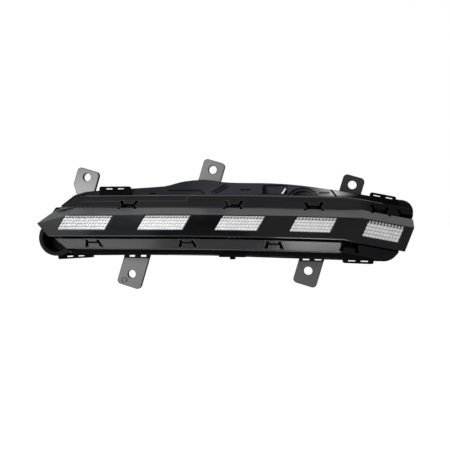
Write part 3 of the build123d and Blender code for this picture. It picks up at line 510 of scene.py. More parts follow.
def shoulder_highlight_mask(graph):
    """Painted highlight: 1 on the hump's right shoulder, less in its slanting crease and to its
    ends.
    """
    ends = fade(graph, "X", SHOULDER_COME) * fade(graph, "X", SHOULDER_GO, 1.0, 0.0)
    slant = place_on(graph, "X") + place_on(graph, "Z") * CREASE_SLOPE
    crease = ramp(graph, abs(slant - CREASE_X), *CREASE_HALF)
    front = (face_look(graph, "Y") < SHOULDER_LOOK) * (1.0 - within(graph, "Y", TAB_DEPTHS))
    face = front * (1.0 - edges(graph, CREST_RIM))
    return ends * crease * face * fade(graph, "Z", SHOULDER_Z)


def lug_glint_mask(graph):
    """1 on the lug in the recess of the hump, where a glint is painted."""
    return within(graph, "X", LUG_X) * within(graph, "Z", LUG_Z) * (1.0 - square_on(graph))


print("shoulder in mm:", round(SHOULDER_COME[0] / MM), "to", round(SHOULDER_GO[1] / MM))

# %% [markdown]
# The ends, the underside, the edges and the grooves of the housing get painted shade, a darker
# and duller skin.
# Each is a soft step along an axis or an edge, and their sum is one mask. The back keeps the
# skin of the walls, because it is one even face.

# %% Dull skin
LEFT_END_X = mm(-104.0, -122.0)
RIGHT_END_X = mm(130.0, 142.0)
UNDERSIDE_Z = mm(-73.0, -76.0)
UPPER_RIGHT_X = mm(102.0, 119.0)
UPPER_RIGHT_Z = mm(-46.0, -36.0)


def upper_right(graph):
    """1 on the upper right corner of the housing, fading in from the left and from below."""
    return fade(graph, "Z", UPPER_RIGHT_Z) * fade(graph, "X", UPPER_RIGHT_X)


def dull_shade_mask(graph):
    """Painted shade: 1 on edges and tabs, and on the ends and the underside of all but the back.
    """
    ends = fade(graph, "X", LEFT_END_X) + fade(graph, "X", RIGHT_END_X)
    not_back = face_look(graph, "Y") < SQUARE
    outer = (ends + fade(graph, "Z", UNDERSIDE_Z) + upper_right(graph)) * not_back
    return outer + within(graph, "Y", TAB_DEPTHS) + edges(graph, CREST_RIM)


print("dull from the left end to mm:", round(LEFT_END_X[0] / MM))

# %% [markdown]
# The flat tabs carry a drier grain that catches the front light. They are the only faces square
# to the front between two depths, so a few comparisons find them. Painted shade makes the grain
# less dry on the upper right tab, on the lower right tabs, on the top of the upper left tab, and
# on the rims and the roots of all.

# %% Dry grain of the tabs
CUP_X = -139.5 * MM
# These amounts, the root and the rim below are painted shade on the tabs.
UPPER_RIGHT_SHADE = 0.7
LOWER_RIGHT_X = 60.0 * MM
LOWER_Z = -70.0 * MM
LOWER_RIGHT_SHADE = 0.22
UPPER_LEFT_X = -100.0 * MM
UPPER_LEFT_Z = mm(-18.0, 4.0)
UPPER_LEFT_SHADE = 0.45
ROOT_Z = mm(-86.7, -85.9)
ROOT_SLOPE = 0.012
TAB_RIM = 1.6 * MM
RIM_SHADE = 0.8


def dry_mask(graph):
    """How dry the grain of the tabs is, less where painted shade falls on tabs, rims and roots."""
    along = place_on(graph, "X")
    height = place_on(graph, "Z")
    tabs = within(graph, "Y", TAB_DEPTHS) * square_on(graph) * (along > CUP_X)
    lower = height < LOWER_Z
    # Painted shade on some tabs, on their roots and on their rims.
    tab_shade = upper_right(graph) * UPPER_RIGHT_SHADE
    tab_shade = tab_shade + (along > LOWER_RIGHT_X) * lower * LOWER_RIGHT_SHADE
    upper_left = (along < UPPER_LEFT_X) * fade(graph, "Z", UPPER_LEFT_Z)
    tab_shade = tab_shade + upper_left * UPPER_LEFT_SHADE
    root = lower * ramp(graph, height + along * ROOT_SLOPE, *ROOT_Z)
    rim = edges(graph, TAB_RIM) * RIM_SHADE
    return tabs * (1.0 - tab_shade) * (1.0 - root) * (1.0 - rim)


print("rim of the tabs in mm:", round(TAB_RIM / MM, 1))

# %% [markdown]
# Now the three skins are mixed. Large faint clouds vary the walls and a fine grain varies all
# three. They share one relief, so that the grain runs on across their borders.

# %% Housing finish
CLOUD_SIZE = 40.0 * MM
CLOUD_SHADE = 0.6
HOUSING_GRAIN = 0.9 * MM
HOUSING_RELIEF = (0.05 * MM, 0.5)
COOL_X = mm(-26.0, -6.0)
HOUSING_COOL = (0.004, 0.008, 0.011, 1.0)
HOUSING_VIOLET = (0.034, 0.030, 0.041, 1.0)
HOUSING_SHADE = (0.010, 0.010, 0.013, 1.0)
HOUSING_WORN = (0.070, 0.070, 0.075, 1.0)
HOUSING_ROUGH = (0.34, 0.46)
HOUSING_SHINE = 0.12
# The next two colours darken the dull skin as painted shade.
DULL_BLACK = (0.003, 0.003, 0.004, 1.0)
DULL_DUSTY = (0.008, 0.008, 0.009, 1.0)
DULL_ROUGH = (0.55, 0.70)
DULL_SHINE = 0.05
DRY_GREY = (0.008, 0.008, 0.008, 1.0)
DRY_PALE = (0.034, 0.034, 0.034, 1.0)
DRY_ROUGH = (0.36, 0.46)
DRY_SHINE = 1.0
# The next two colours are a painted highlight on the shoulder and a painted glint on the lug.
SHOULDER_HIGHLIGHT = (0.55, 0.55, 0.55, 1.0)
LUG_GLINT = (0.80, 0.80, 0.82, 1.0)


def grained_housing():
    """Grained black polypropylene with drier tabs, painted shade at its ends and edges, and
    painted highlights on the shoulder and the lug.
    """
    material, graph = start_finish("grained_housing")
    clouds = specks(graph, CLOUD_SIZE, FINE_DETAIL)
    grain = specks(graph, HOUSING_GRAIN, FINE_DETAIL)
    speckle = spread(graph, grain)
    relief = pressed(graph, grain, *HOUSING_RELIEF)
    shoulder = shoulder_highlight_mask(graph)
    lug = lug_glint_mask(graph)
    wall = colour_mix(graph, fade(graph, "X", COOL_X), HOUSING_COOL, HOUSING_VIOLET)
    wall = colour_mix(graph, spread(graph, clouds, 0.0, CLOUD_SHADE), wall, HOUSING_SHADE)
    wall = colour_mix(graph, edges(graph) * grain, wall, HOUSING_WORN)
    dull = colour_mix(graph, speckle, DULL_BLACK, DULL_DUSTY)
    dry = colour_mix(graph, speckle, DRY_GREY, DRY_PALE)
    # Painted highlight on the shoulder and painted glint on the lug.
    dry = colour_mix(graph, shoulder, dry, SHOULDER_HIGHLIGHT)
    dry = colour_mix(graph, lug, dry, LUG_GLINT)
    wall = skin(graph, wall, spread(graph, clouds, *HOUSING_ROUGH), HOUSING_SHINE, relief)
    dull = skin(graph, dull, spread(graph, clouds, *DULL_ROUGH), DULL_SHINE, relief)
    dry = skin(graph, dry, spread(graph, grain, *DRY_ROUGH), DRY_SHINE, relief)
    # Painted shade mixes in the dull skin.
    dark = two_skins(graph, dull_shade_mask(graph), wall, dull)
    surface = two_skins(graph, dry_mask(graph) + shoulder + lug, dark, dry)
    return end_finish(material, graph, surface)


wear(grained_housing(), "rear_housing")
print("rear housing finished")

# %% [markdown]
# ## Carrier frame
# The carrier frame is a smoother black moulding with a satin skin. Faint flow marks run along
# it, the way the melt ran in the mould. They could be drawn as lines, but noise stretched along
# the lamp keeps them soft and uneven. The lip, the latches, the left foot and the right end
# of the sill lie deep behind the bar, and they get painted shade: a darker, duller skin.

# %% Frame finish
DEEP_FRONT = -21.0 * MM
FOOT_X = -40.0 * MM
FOOT_Z = -75.7 * MM
TAIL_X = 121.0 * MM
TAIL_Z = -62.0 * MM
DIM_X = mm(136.0, 150.0)
DIM = 0.8
FLOW_SIZE = 6.0 * MM
FLOW_STRETCH = (12.0, 1.0, 1.0)
FINE_GRAIN = 0.6 * MM
FRAME_RELIEF = (0.02 * MM, 0.5)
FRAME_DARK = (0.004, 0.004, 0.005, 1.0)
FRAME_SOFT = (0.009, 0.009, 0.010, 1.0)
# The next colour is edge wear made paler as a painted highlight.
FRAME_WEAR_AND_HIGHLIGHT = (0.150, 0.150, 0.152, 1.0)
FRAME_ROUGH = (0.15, 0.22)
FRAME_SHINE = 0.11
# The black of the deep skin is painted shade.
DEEP_SHADE_BLACK = (0.0015, 0.0015, 0.0018, 1.0)
DEEP_SPECKLE = 0.6
DEEP_ROUGH = 0.8
DEEP_SHINE = 0.03


def deep_shade_mask(graph):
    """Painted shade: 1 on the lip, the latches, the left foot and the tail, and part towards the
    end.
    """
    along = place_on(graph, "X")
    height = place_on(graph, "Z")
    lip = (place_on(graph, "Y") > DEEP_FRONT) * square_on(graph)
    foot = (along < FOOT_X) * (height < FOOT_Z)
    tail = (along > TAIL_X) * (height < TAIL_Z)
    return lip + foot + tail + fade(graph, "X", DIM_X, 0.0, DIM)


def satin_frame():
    """Satin black moulding with flow marks, edges paler from wear and painted highlight, and
    painted shade on the lip.
    """
    material, graph = start_finish("satin_frame")
    flow = specks(graph, FLOW_SIZE, PLAIN_DETAIL, FLOW_STRETCH)
    grain = specks(graph, FINE_GRAIN)
    relief = pressed(graph, grain, *FRAME_RELIEF)
    satin = colour_mix(graph, spread(graph, flow), FRAME_DARK, FRAME_SOFT)
    # Edges painted paler: partly wear, partly painted highlight.
    satin = colour_mix(graph, edges(graph) * grain, satin, FRAME_WEAR_AND_HIGHLIGHT)
    deep = colour_mix(graph, spread(graph, grain, 0.0, DEEP_SPECKLE), DEEP_SHADE_BLACK, FRAME_DARK)
    satin = skin(graph, satin, spread(graph, flow, *FRAME_ROUGH), FRAME_SHINE, relief)
    deep = skin(graph, deep, DEEP_ROUGH, DEEP_SHINE, relief)
    # The deep skin is painted shade.
    return end_finish(material, graph, two_skins(graph, deep_shade_mask(graph), satin, deep))


frame_satin = satin_frame()
wear(frame_satin, "front_frame")
print("carrier frame finished")

# %% [markdown]
# ## Polished bezel
# The bezel is polished to a piano black. Its colour is almost nothing and its reflection is
# everything, so it gets a low roughness with faint wiped smudges and a trace of orange peel.
# Only its front is polished: the bevel that looks up is satin, and the snap hooks that reach
# into the notches and the underside of the tail get painted shade, a dark and dull skin.

# %% Bezel finish
BEVEL_LOOK = 0.5
BEVEL_ROUGHER = 0.26
HOOK_FRONT = -33.0 * MM
UNDER_LOOK = -0.3
UNDER_FADE_X = mm(112.0, 138.0)
SMUDGE_SIZE = 18.0 * MM
SMUDGE_DETAIL = 4.0
SMUDGE_STRETCH = (3.0, 1.0, 1.0)
PEEL_SIZE = 3.5 * MM
PEEL_DETAIL = 1.0
PEEL_RELIEF = (0.004 * MM, 0.6)
BEZEL_COOL_X = mm(-50.0, 0.0)
BEZEL_BLACK = (0.0030, 0.0030, 0.0036, 1.0)
BEZEL_COOL = (0.0044, 0.0068, 0.0094, 1.0)
BEZEL_HAZE = (0.0066, 0.0066, 0.0068, 1.0)
GLOSS_ROUGH = (0.07, 0.14)
GLOSS_SHINE = 0.13
HOOK_ROUGH = 0.8
HOOK_SHINE = 0.05


def polished_bezel():
    """Piano black with smudges and orange peel, a satin bevel, and painted shade on hooks and tail
    underside.
    """
    material, graph = start_finish("polished_bezel")
    smudge = specks(graph, SMUDGE_SIZE, SMUDGE_DETAIL, SMUDGE_STRETCH)
    grain = specks(graph, FINE_GRAIN)
    relief = pressed(graph, specks(graph, PEEL_SIZE, PEEL_DETAIL), *PEEL_RELIEF)
    haze = colour_mix(graph, fade(graph, "X", BEZEL_COOL_X), BEZEL_COOL, BEZEL_HAZE)
    gloss = colour_mix(graph, spread(graph, smudge), BEZEL_BLACK, haze)
    hooks = colour_mix(graph, spread(graph, grain), DEEP_SHADE_BLACK, BEZEL_HAZE)
    bevel = face_look(graph, "Z") > BEVEL_LOOK
    gloss_rough = spread(graph, smudge, *GLOSS_ROUGH) + bevel * BEVEL_ROUGHER
    gloss = skin(graph, gloss, gloss_rough, GLOSS_SHINE, relief)
    hooks = skin(graph, hooks, HOOK_ROUGH, HOOK_SHINE, relief)
    # Painted shade on the hooks in the notches and under the tail.
    dull = (place_on(graph, "Y") > HOOK_FRONT) * square_on(graph)
    dull = dull + (face_look(graph, "Z") < UNDER_LOOK) * fade(graph, "X", UNDER_FADE_X)
    return end_finish(material, graph, two_skins(graph, dull, gloss, hooks))


wear(polished_bezel(), "bar_bezel")
print("bezel finished")

# %% [markdown]
# ## The path of the light bar
# The lens pads and the trim follow the light bar. It runs straight from the left, curves very
# gently, then bends and runs on straight, sinking to the back and down at one fixed tilt. A
# curve object could carry them, but its twist is hard to control. Here every place on the bar
# is a turn about one axis, so one function gives the matrix that carries a point of a straight
# bar, with x along, y to the back and z up, to its place at a station of the real one.

# %% Bar path
BAR_DROP = 53.1
BAR_END = 173.8
CURVE_START = -40.0
CURVE_RADIUS = 3630.0
BEND_START = 122.5
BEND_RADIUS = 40.0
BEND_ANGLE = math.radians(11.3)
DROOP_TILT = math.radians(50.0)
TAIL_START = BEND_START + BEND_RADIUS * BEND_ANGLE
ALONG = Vector((1.0, 0.0, 0.0))
INWARD = Vector((0.0, math.cos(DROOP_TILT), -math.sin(DROOP_TILT)))
TURN = Vector((0.0, math.sin(DROOP_TILT), math.cos(DROOP_TILT)))


def arc_step(radius, angle, start_turn):
    """The way along an arc of the path that starts after some turning."""
    step = ALONG * (radius * math.sin(angle)) + INWARD * (radius * (1.0 - math.cos(angle)))
    return Matrix.Rotation(start_turn, 3, TURN) @ step


def bar_place(station):
    """Matrix from the straight bar at a station to the lamp, both in millimetres."""
    curve = min(max(station - CURVE_START, 0.0), BEND_START - CURVE_START) / CURVE_RADIUS
    bend = min(max(station - BEND_START, 0.0) / BEND_RADIUS, BEND_ANGLE)
    rotation = Matrix.Rotation(curve + bend, 3, TURN)
    point = ALONG * min(station, CURVE_START) - Vector((0.0, 0.0, BAR_DROP))
    point += arc_step(CURVE_RADIUS, curve, 0.0) + arc_step(BEND_RADIUS, bend, curve)
    point += rotation @ ALONG * max(station - TAIL_START, 0.0)
    return Matrix.Translation(point) @ rotation.to_4x4()


print("end of the bar in mm:", [round(side, 1) for side in bar_place(BAR_END).translation])

# %% [markdown]
# ## Thin trim of the frame
# Two small forms of the frame catch the light: flat tongues and thin beads. Modifiers could
# give them thickness, but both are simply rings of points joined by faces. So one function
# makes a closed form of any number of rings, and another makes a piece that rides on the lamp.

# %% Forms from rings


def lofted(rings):
    """Points and faces of a closed form through rings that turn the same way."""
    count = len(rings[0])
    points = [point for ring in rings for point in ring]
    last = len(points) - count
    faces = [tuple(range(count)), tuple(range(len(points) - 1, last - 1, -1))]
    for start in range(0, last, count):
        for side in range(count):
            near = start + side
            other = start + (side + 1) % count
            faces.append((near, near + count, other + count, other))
    return points, faces


def joined(shapes):
    """Points and faces of several shapes as one."""
    points = []
    faces = []
    for shape_points, shape_faces in shapes:
        start = len(points)
        points += shape_points
        faces += [tuple(start + index for index in face) for face in shape_faces]
    return points, faces


def new_piece(name, shape, material):
    """A new piece of the lamp from points in millimetres and faces."""
    points, faces = shape
    mesh = bpy.data.meshes.new(name)
    mesh.from_pydata([point * MM for point in points], [], faces)
    mesh.materials.append(material)
    mesh.update()
    piece = bpy.data.objects.new(name, mesh)
    bpy.context.scene.collection.objects.link(piece)
    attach(piece, "root")
    return piece


print("form helpers ready")

# %% [markdown]
# In each notch of the sill a flat tongue stands between the two horns, so the notch reads as a
# bow tie. It has one ring in front, drawn on the slope of the sill, and the same ring behind,
# one thickness further in. Both halves are alike, so one half is drawn and mirrored.

# %% Tongues of the sill
SILL_NOTCHES = [-108.5, -18.6, 61.0]
SILL_HEAD = (-36.0, -12.8)
SILL_FOOT = (-25.5, -22.4)
TONGUE_HALF = [(7.6, 0.0), (7.1, 0.9), (4.3, 0.9), (3.9, 2.6)]
TONGUE_THICK = 1.2


def sill_tongue(station):
    """One tongue, on the slope of the sill at a station."""
    run = SILL_FOOT[0] - SILL_HEAD[0]
    fall = SILL_HEAD[1] - SILL_FOOT[1]
    inward = Vector((0.0, fall, run)).normalized() * TONGUE_THICK
    front = []
    for x, drop in [(-x, drop) for x, drop in TONGUE_HALF] + TONGUE_HALF[::-1]:
        front.append(Vector((x, SILL_HEAD[0] + drop * run / fall, SILL_HEAD[1] - drop)))
    back = [point + inward for point in front]
    matrix = bar_place(station)
    return lofted([[matrix @ point for point in ring] for ring in (front, back)])


tongues = joined([sill_tongue(station) for station in SILL_NOTCHES])
new_piece("sill_tongues", tongues, frame_satin)
print("tongues:", len(SILL_NOTCHES))

# %% [markdown]
# Thin beads run along the head of the deck and the foot of the sill. A bead is a small round
# ring repeated every few millimetres of the path, so that it bends with the frame. It is painted
# paler than the frame as a highlight line, so it gets a finish of its own.

# %% Beads of the frame
BEAD_RUNS = [
    (-118.0, -20.2, -23.1, 27.5),
    (-19.2, 150.0, -24.5, 27.4),
    (-128.0, 118.0, -25.6, -22.2),
]
BEAD_RADIUS = 0.55
BEAD_SIDES = 8
BEAD_STEP = 5.0
BEAD_FLOW = 4.0 * MM
# The bead's two colours are a painted highlight.
BEAD_SOFT_HIGHLIGHT = (0.045, 0.045, 0.046, 1.0)
BEAD_BRIGHT_HIGHLIGHT = (0.085, 0.085, 0.086, 1.0)
BEAD_ROUGH = (0.30, 0.45)
BEAD_SHINE = 0.12


def frame_bead(first, last, depth, height):
    """One bead along the frame between two stations."""
    ring = []
    for side in range(BEAD_SIDES):
        turn = -2.0 * math.pi * side / BEAD_SIDES
        across = depth + BEAD_RADIUS * math.cos(turn)
        ring.append(Vector((0.0, across, height + BEAD_RADIUS * math.sin(turn))))
    steps = round((last - first) / BEAD_STEP)
    stations = [first + (last - first) * step / steps for step in range(steps + 1)]
    return lofted([[bar_place(station) @ point for point in ring] for station in stations])


def bead_highlight_finish():
    """Satin black painted pale as a highlight line, paler in places along its run."""
    material, graph = start_finish("bead_highlight_finish")
    flow = specks(graph, BEAD_FLOW, PLAIN_DETAIL, FLOW_STRETCH)
    sockets = {
        "Base Color": colour_mix(graph, spread(graph, flow), BEAD_SOFT_HIGHLIGHT, BEAD_BRIGHT_HIGHLIGHT),
        "Roughness": spread(graph, flow, *BEAD_ROUGH),
        "Specular IOR Level": BEAD_SHINE,
    }
    return end_finish(material, graph, principled(graph, sockets))


beads = joined([frame_bead(*run) for run in BEAD_RUNS])
new_piece("frame_beads", beads, bead_highlight_finish())
print("bead faces:", len(beads[1]))

# %% [markdown]
# ## Lens pads
# Each window is filled by a clear pad whose face is a quilt of small pillows, four rows of them
# under a row of beads on the bevelled top edge. A bump in the shader would show the quilt from
# the front only, so it is modelled. A pillow is a shallow dome, and four of them meet in a pit.
# The quilt is a grid of points pushed out by the domes. Every point keeps its place in the
# quilt as a UV coordinate, counted in pillows, so the shader can find the pits.

# %% Quilt of a pad
WINDOWS = [
    (-110.2, 45.5, 30.0),
    (-36.4, 42.1, 30.0),
    (31.9, 38.0, 30.0),
    (96.0, 35.4, 26.0),
    (150.1, 31.8, 13.0),
]
WINDOW_BOTTOM = -4.45
WINDOW_TOP = 9.0
PAD_GAP = 0.15
PAD_FACE = -50.0
PILLOW_PITCH = 2.85
PILLOW_ROWS = 4
PILLOW_RISE = 0.6
PILLOW_STEPS = 6
BEAD_HEIGHT = 2.2
BEAD_SETBACK = 1.6
BEAD_WAIST = 0.7


def pad_profile(stretch):
    """Lines of the quilt from foot to top: row, depth, height, and the way its domes push."""
    foot = stretch * WINDOW_BOTTOM + PAD_GAP
    crown = stretch * WINDOW_TOP - PAD_GAP - BEAD_HEIGHT
    root = PAD_FACE + PILLOW_RISE
    slope = math.hypot(BEAD_SETBACK, BEAD_HEIGHT)
    lines = []
    for step in range((PILLOW_ROWS + 1) * PILLOW_STEPS + 1):
        row = step / PILLOW_STEPS
        if row <= PILLOW_ROWS:
            lines.append((row, root, foot + (crown - foot) * row / PILLOW_ROWS, (-1.0, 0.0)))
        else:
            part = row - PILLOW_ROWS
            push = (-BEAD_HEIGHT / slope, BEAD_SETBACK / slope)
            lines.append((row, root + part * BEAD_SETBACK, crown + part * BEAD_HEIGHT, push))
    return lines


def dome(column, row):
    """Height of a pillow or a bead at a place in the quilt, as a part of the rise."""
    sideways = 2.0 * (column % 1.0) - 1.0
    upward = 2.0 * (row % 1.0) - 1.0
    if row > PILLOW_ROWS:
        return (1.0 - upward**2) * (1.0 - BEAD_WAIST * sideways**2)
    return 1.0 - (sideways**2 + upward**2) / 2.0


def pad_face(width, slant, stretch):
    """Points of a quilt, their places in it, and how many of them make a line."""
    lean = math.tan(math.radians(slant))
    half = width / 2.0 - PAD_GAP / math.cos(math.radians(slant))
    middle = stretch * (WINDOW_BOTTOM + WINDOW_TOP) / 2.0
    steps = round(width / PILLOW_PITCH) * PILLOW_STEPS
    points = []
    places = []
    for row, depth, height, (push, lift) in pad_profile(stretch):
        for step in range(steps + 1):
            column = step / PILLOW_STEPS
            x = lean * (height - middle) + half * (2.0 * step / steps - 1.0)
            swell = PILLOW_RISE * dome(column, row)
            points.append((x, depth + push * swell, height + lift * swell))
            places.append((column, row))
    return points, places, steps + 1


print("pillows:", [round(width / PILLOW_PITCH) * PILLOW_ROWS for station, width, slant in WINDOWS])

# %% [markdown]
# Side walls and a flat back close the pad, so that it is solid like the real one. Extruding the
# rim in edit mode would do the same. Here the indices round the grid are known, so the walls
# are joined to them at once. On the tail the bar is taller, and so is its pad.

# %% Closed pad
PAD_BACK = -47.3
PLAIN_PLACE = (0.5, 0.5)
TAIL_STRETCH = 1.12


def grid_rim(line, count):
    """Indices round a grid of points: along its first line, up, back along its last and down."""
    last = count - line
    rim = list(range(0, line)) + list(range(2 * line - 1, count, line))
    return rim + list(range(count - 2, last - 1, -1)) + list(range(last - line, 0, -line))


def closed_pad(station, width, slant):
    """Points, places and faces of one pad, with the count of its quilted faces."""
    stretch = TAIL_STRETCH if station > BEND_START else 1.0
    points, places, line = pad_face(width, slant, stretch)
    count = len(points)
    faces = []
    for first in range(0, count - line, line):
        for near in range(first, first + line - 1):
            faces.append((near, near + 1, near + 1 + line, near + line))
    quilted = len(faces)
    rim = grid_rim(line, count)
    points += [(points[index][0], PAD_BACK, points[index][2]) for index in rim]
    places += [PLAIN_PLACE] * len(rim)
    for index, corner in enumerate(rim):
        following = (index + 1) % len(rim)
        faces.append((corner, count + index, count + following, rim[following]))
    faces.append(tuple(range(len(points) - 1, count - 1, -1)))
    matrix = bar_place(station)
    return [matrix @ Vector(point) for point in points], places, faces, quilted


print("depth of a pad in mm:", round(PAD_BACK - PAD_FACE, 1))

# %% [markdown]
# A clear web behind the bezel joins the five pads, as in the real moulding. It is one more form
# of rings along the path, with a ring wherever the path or the height of the web changes.

# %% Web and whole lens
WEB_FRONT = -47.5
WEB_BACK = -45.8
WEB_HEIGHTS = (-7.5, 7.4)
WEB_TAIL_HEIGHTS = (-8.4, 8.3)
WEB_LINES = [
    (-140.0, (-7.5, 2.0)),
    (-121.0, (-7.5, 6.0)),
    (-114.0, WEB_HEIGHTS),
    (CURVE_START, WEB_HEIGHTS),
    (20.0, WEB_HEIGHTS),
    (70.0, WEB_HEIGHTS),
    (BEND_START, WEB_HEIGHTS),
    (TAIL_START, WEB_TAIL_HEIGHTS),
    (168.0, WEB_TAIL_HEIGHTS),
]


def web_bar():
    """The web that runs behind the bezel from pad to pad."""
    rings = []
    for station, (low, high) in WEB_LINES:
        corners = [(WEB_FRONT, low), (WEB_FRONT, high), (WEB_BACK, high), (WEB_BACK, low)]
        matrix = bar_place(station)
        rings.append([matrix @ Vector((0.0, depth, height)) for depth, height in corners])
    return lofted(rings)


lens_shapes = [web_bar()]
lens_places = [PLAIN_PLACE] * len(lens_shapes[0][0])
smooth_faces = [False] * len(lens_shapes[0][1])
for window in WINDOWS:
    points, places, faces, quilted = closed_pad(*window)
    lens_shapes.append((points, faces))
    lens_places += places
    smooth_faces += [index < quilted for index in range(len(faces))]
print("lens faces:", len(smooth_faces))

# %% [markdown]
# Clear acrylic over a bright cup looks white, with the pits between the pillows dark, because
# there the light leaves sideways. Real refraction through so many small domes is slow and
# noisy, so the shader paints what it gives: the white is painted light and the pits are
# painted shade. It takes the place in the quilt, works out how far a point is from the middle
# of its pillow in both directions, and darkens where both are large. The line of pits under
# the beads is the strongest, and the gaps between the beads get painted shade too, most of all
# on the last pad. The first pad gets a little painted shade, so it is greyer than the others.

# %% Lens finish
# The white colours are painted light from the cups, and the pit colour is painted shade.
LENS_WHITE = (0.72, 0.72, 0.72, 1.0)
LENS_GREYER_WHITE = (0.60, 0.60, 0.61, 1.0)
LENS_PIT = (0.04, 0.04, 0.045, 1.0)
LENS_HAZE = 5.0 * MM
LENS_ROUGH = (0.05, 0.12)
LENS_CLEAR = 0.10
ACRYLIC_INDEX = 1.49
PIT_SHARP = 1.4
PIT_FAINT = 0.45
SEAM_FAINT = 0.36
CROWN_REACH = 0.45
CROWN_DARK = 1.2
GAP_SHARP = 4.0
GAP_DARK = (0.45, 2.2)
LAST_PAD_X = mm(112.0, 128.0)
FAR_X = mm(-132.0, -60.0)
FIRST_PAD_SHADE = 0.27


def pit_shade_mask(graph):
    """Painted shade of the quilt, from 0 on a pillow to 1 and more in a pit, and on the first pad.
    """
    place = graph.node("ShaderNodeUVMap", {"uv_map": "quilt"})
    row = part_of(graph, place, "Y")
    sideways = abs((part_of(graph, place, "X") % 1.0) * 2.0 - 1.0)
    upward = abs((row % 1.0) * 2.0 - 1.0)
    crown = abs(row - PILLOW_ROWS) < CROWN_REACH
    corner = (sideways * upward) ** PIT_SHARP
    pits = corner * (crown * CROWN_DARK + PIT_FAINT) + upward**GAP_SHARP * SEAM_FAINT
    gaps = (row > PILLOW_ROWS) * sideways**GAP_SHARP * fade(graph, "X", LAST_PAD_X, *GAP_DARK)
    return pits + gaps + fade(graph, "X", FAR_X, FIRST_PAD_SHADE, 0.0)


def quilted_acrylic():
    """Clear optic painted white as light from its cup, with painted shade in its pits."""
    material, graph = start_finish("quilted_acrylic")
    haze = specks(graph, LENS_HAZE, FINE_DETAIL)
    white = colour_mix(graph, spread(graph, haze), LENS_GREYER_WHITE, LENS_WHITE)
    sockets = {
        "Base Color": colour_mix(graph, pit_shade_mask(graph), white, LENS_PIT),
        "Roughness": spread(graph, haze, *LENS_ROUGH),
        "IOR": ACRYLIC_INDEX,
        "Transmission Weight": LENS_CLEAR,
    }
    return end_finish(material, graph, principled(graph, sockets))


lens_pads = new_piece("lens_pads", joined(lens_shapes), quilted_acrylic())
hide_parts("lens_strip")
quilt = lens_pads.data.uv_layers.new(name="quilt")
for loop in lens_pads.data.loops:
    quilt.data[loop.index].uv = lens_places[loop.vertex_index]
lens_pads.data.polygons.foreach_set("use_smooth", smooth_faces)
lens_pads.data.update()
print("lens pads in mm:", [round(side / MM, 1) for side in lens_pads.dimensions])

# %% [markdown]
# ## Bright cups
# Behind every pad sits a metallised cup. A perfect mirror would look like a drawing, so it is a
# bright metal with a soft ripple from its mould, in its colour, its roughness and its relief.

# %% Reflectors
WINDOW_COUNT = len(WINDOWS)
METAL = 1.0
CUP_SILVER = (0.86, 0.87, 0.89, 1.0)
CUP_BRIGHT = (0.95, 0.95, 0.96, 1.0)
CUP_ROUGH = (0.16, 0.28)
RIPPLE_SIZE = 2.5 * MM
RIPPLE_RELIEF = (0.05 * MM, 0.4)


def silvered_cup():
    """Metallised plastic with a soft ripple."""
    material, graph = start_finish("silvered_cup")
    ripple = specks(graph, RIPPLE_SIZE)
    sockets = {
        "Base Color": colour_mix(graph, spread(graph, ripple), CUP_SILVER, CUP_BRIGHT),
        "Metallic": METAL,
        "Roughness": spread(graph, ripple, *CUP_ROUGH),
        "Normal": pressed(graph, ripple, *RIPPLE_RELIEF),
    }
    return end_finish(material, graph, principled(graph, sockets))


wear(silvered_cup(), *[f"reflector_{number + 1}" for number in range(WINDOW_COUNT)])
print("cups finished:", WINDOW_COUNT)

# %% [markdown]
# ## Metals, rubbers and boards
# The inner pieces need no more than a family resemblance each: a metal with a brushed or a
# drawn grain, a rubber with a dry bloom, a board with its solder mask. A function for each
# would repeat itself, so one makes them all from two colours, a range of roughness, and the
# size in millimetres and the stretch of the grain.

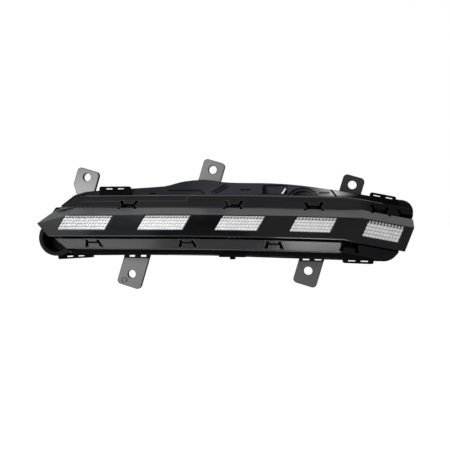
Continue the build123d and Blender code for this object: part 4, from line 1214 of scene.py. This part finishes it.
# %% Inner pieces
NO_METAL = 0.0
ALONG_X = (40.0, 1.0, 1.0)
ALONG_Y = (1.0, 16.0, 1.0)
INNER_RELIEF = (0.02 * MM, 0.4)
INNER_METALS = {
    "mill_aluminium": ((0.60, 0.61, 0.62), (0.74, 0.75, 0.76), (0.28, 0.42), 0.4, ALONG_X),
    "zinc_steel": ((0.46, 0.46, 0.47), (0.58, 0.58, 0.57), (0.25, 0.40), 0.5, EVEN),
    "drawn_can": ((0.62, 0.63, 0.65), (0.72, 0.73, 0.74), (0.18, 0.30), 0.4, ALONG_Y),
    "tinned_brass": ((0.60, 0.46, 0.18), (0.74, 0.60, 0.30), (0.18, 0.32), 0.5, ALONG_Y),
}
INNER_PLASTICS = {
    "solder_white": ((0.78, 0.79, 0.78), (0.84, 0.85, 0.84), (0.35, 0.50), 1.2, EVEN),
    "phosphor": ((0.80, 0.62, 0.12), (0.88, 0.74, 0.22), (0.50, 0.65), 0.3, EVEN),
    "soft_rubber": ((0.014, 0.014, 0.014), (0.030, 0.030, 0.030), (0.70, 0.85), 0.8, EVEN),
    "solder_green": ((0.020, 0.150, 0.060), (0.035, 0.210, 0.090), (0.30, 0.45), 1.5, EVEN),
    "ferrite": ((0.030, 0.030, 0.034), (0.060, 0.060, 0.064), (0.55, 0.70), 0.6, EVEN),
    "moulded_inlet": ((0.012, 0.012, 0.013), (0.024, 0.024, 0.025), (0.38, 0.52), 0.7, EVEN),
    "cap_rubber_dry": ((0.016, 0.016, 0.016), (0.034, 0.034, 0.034), (0.62, 0.80), 0.8, EVEN),
}
INNER_NODES = {
    "mill_aluminium": ["heat_strip"],
    "zinc_steel": ["strip_screws", "board_rivets", "driver_screws"],
    "drawn_can": ["driver_capacitors"],
    "tinned_brass": ["connector_pins"],
    "solder_white": [f"led_board_{number + 1}" for number in range(WINDOW_COUNT)],
    "phosphor": ["led_chips"],
    "soft_rubber": ["housing_seal", "connector_seal"],
    "solder_green": ["driver_board"],
    "ferrite": ["driver_coil"],
    "moulded_inlet": ["connector_socket"],
    "cap_rubber_dry": ["vent_cap"],
}


def inner_finish(name, metallic, first, second, rough, grain_size, stretch):
    """A finish from two colours, a range of roughness and a grain."""
    material, graph = start_finish(name)
    grain = specks(graph, grain_size * MM, FINE_DETAIL, stretch)
    sockets = {
        "Base Color": colour_mix(graph, spread(graph, grain), (*first, 1.0), (*second, 1.0)),
        "Metallic": metallic,
        "Roughness": spread(graph, grain, *rough),
        "Normal": pressed(graph, grain, *INNER_RELIEF),
    }
    return end_finish(material, graph, principled(graph, sockets))


for metallic, finishes in [(METAL, INNER_METALS), (NO_METAL, INNER_PLASTICS)]:
    for name, settings in finishes.items():
        wear(inner_finish(name, metallic, *settings), *INNER_NODES[name])
print("inner finishes:", len(INNER_NODES))

# %% [markdown]
# ## Closing
# The box of the dressed lamp is measured again and kept beside the box from CAD, to show that
# nothing has grown.

# %% Measure and finish
visual_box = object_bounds()
boxes = {"cad": cad_box, "visual": visual_box}
boxes = {name: [list(corner) for corner in box] for name, box in boxes.items()}
print("boxes in metres:", boxes)
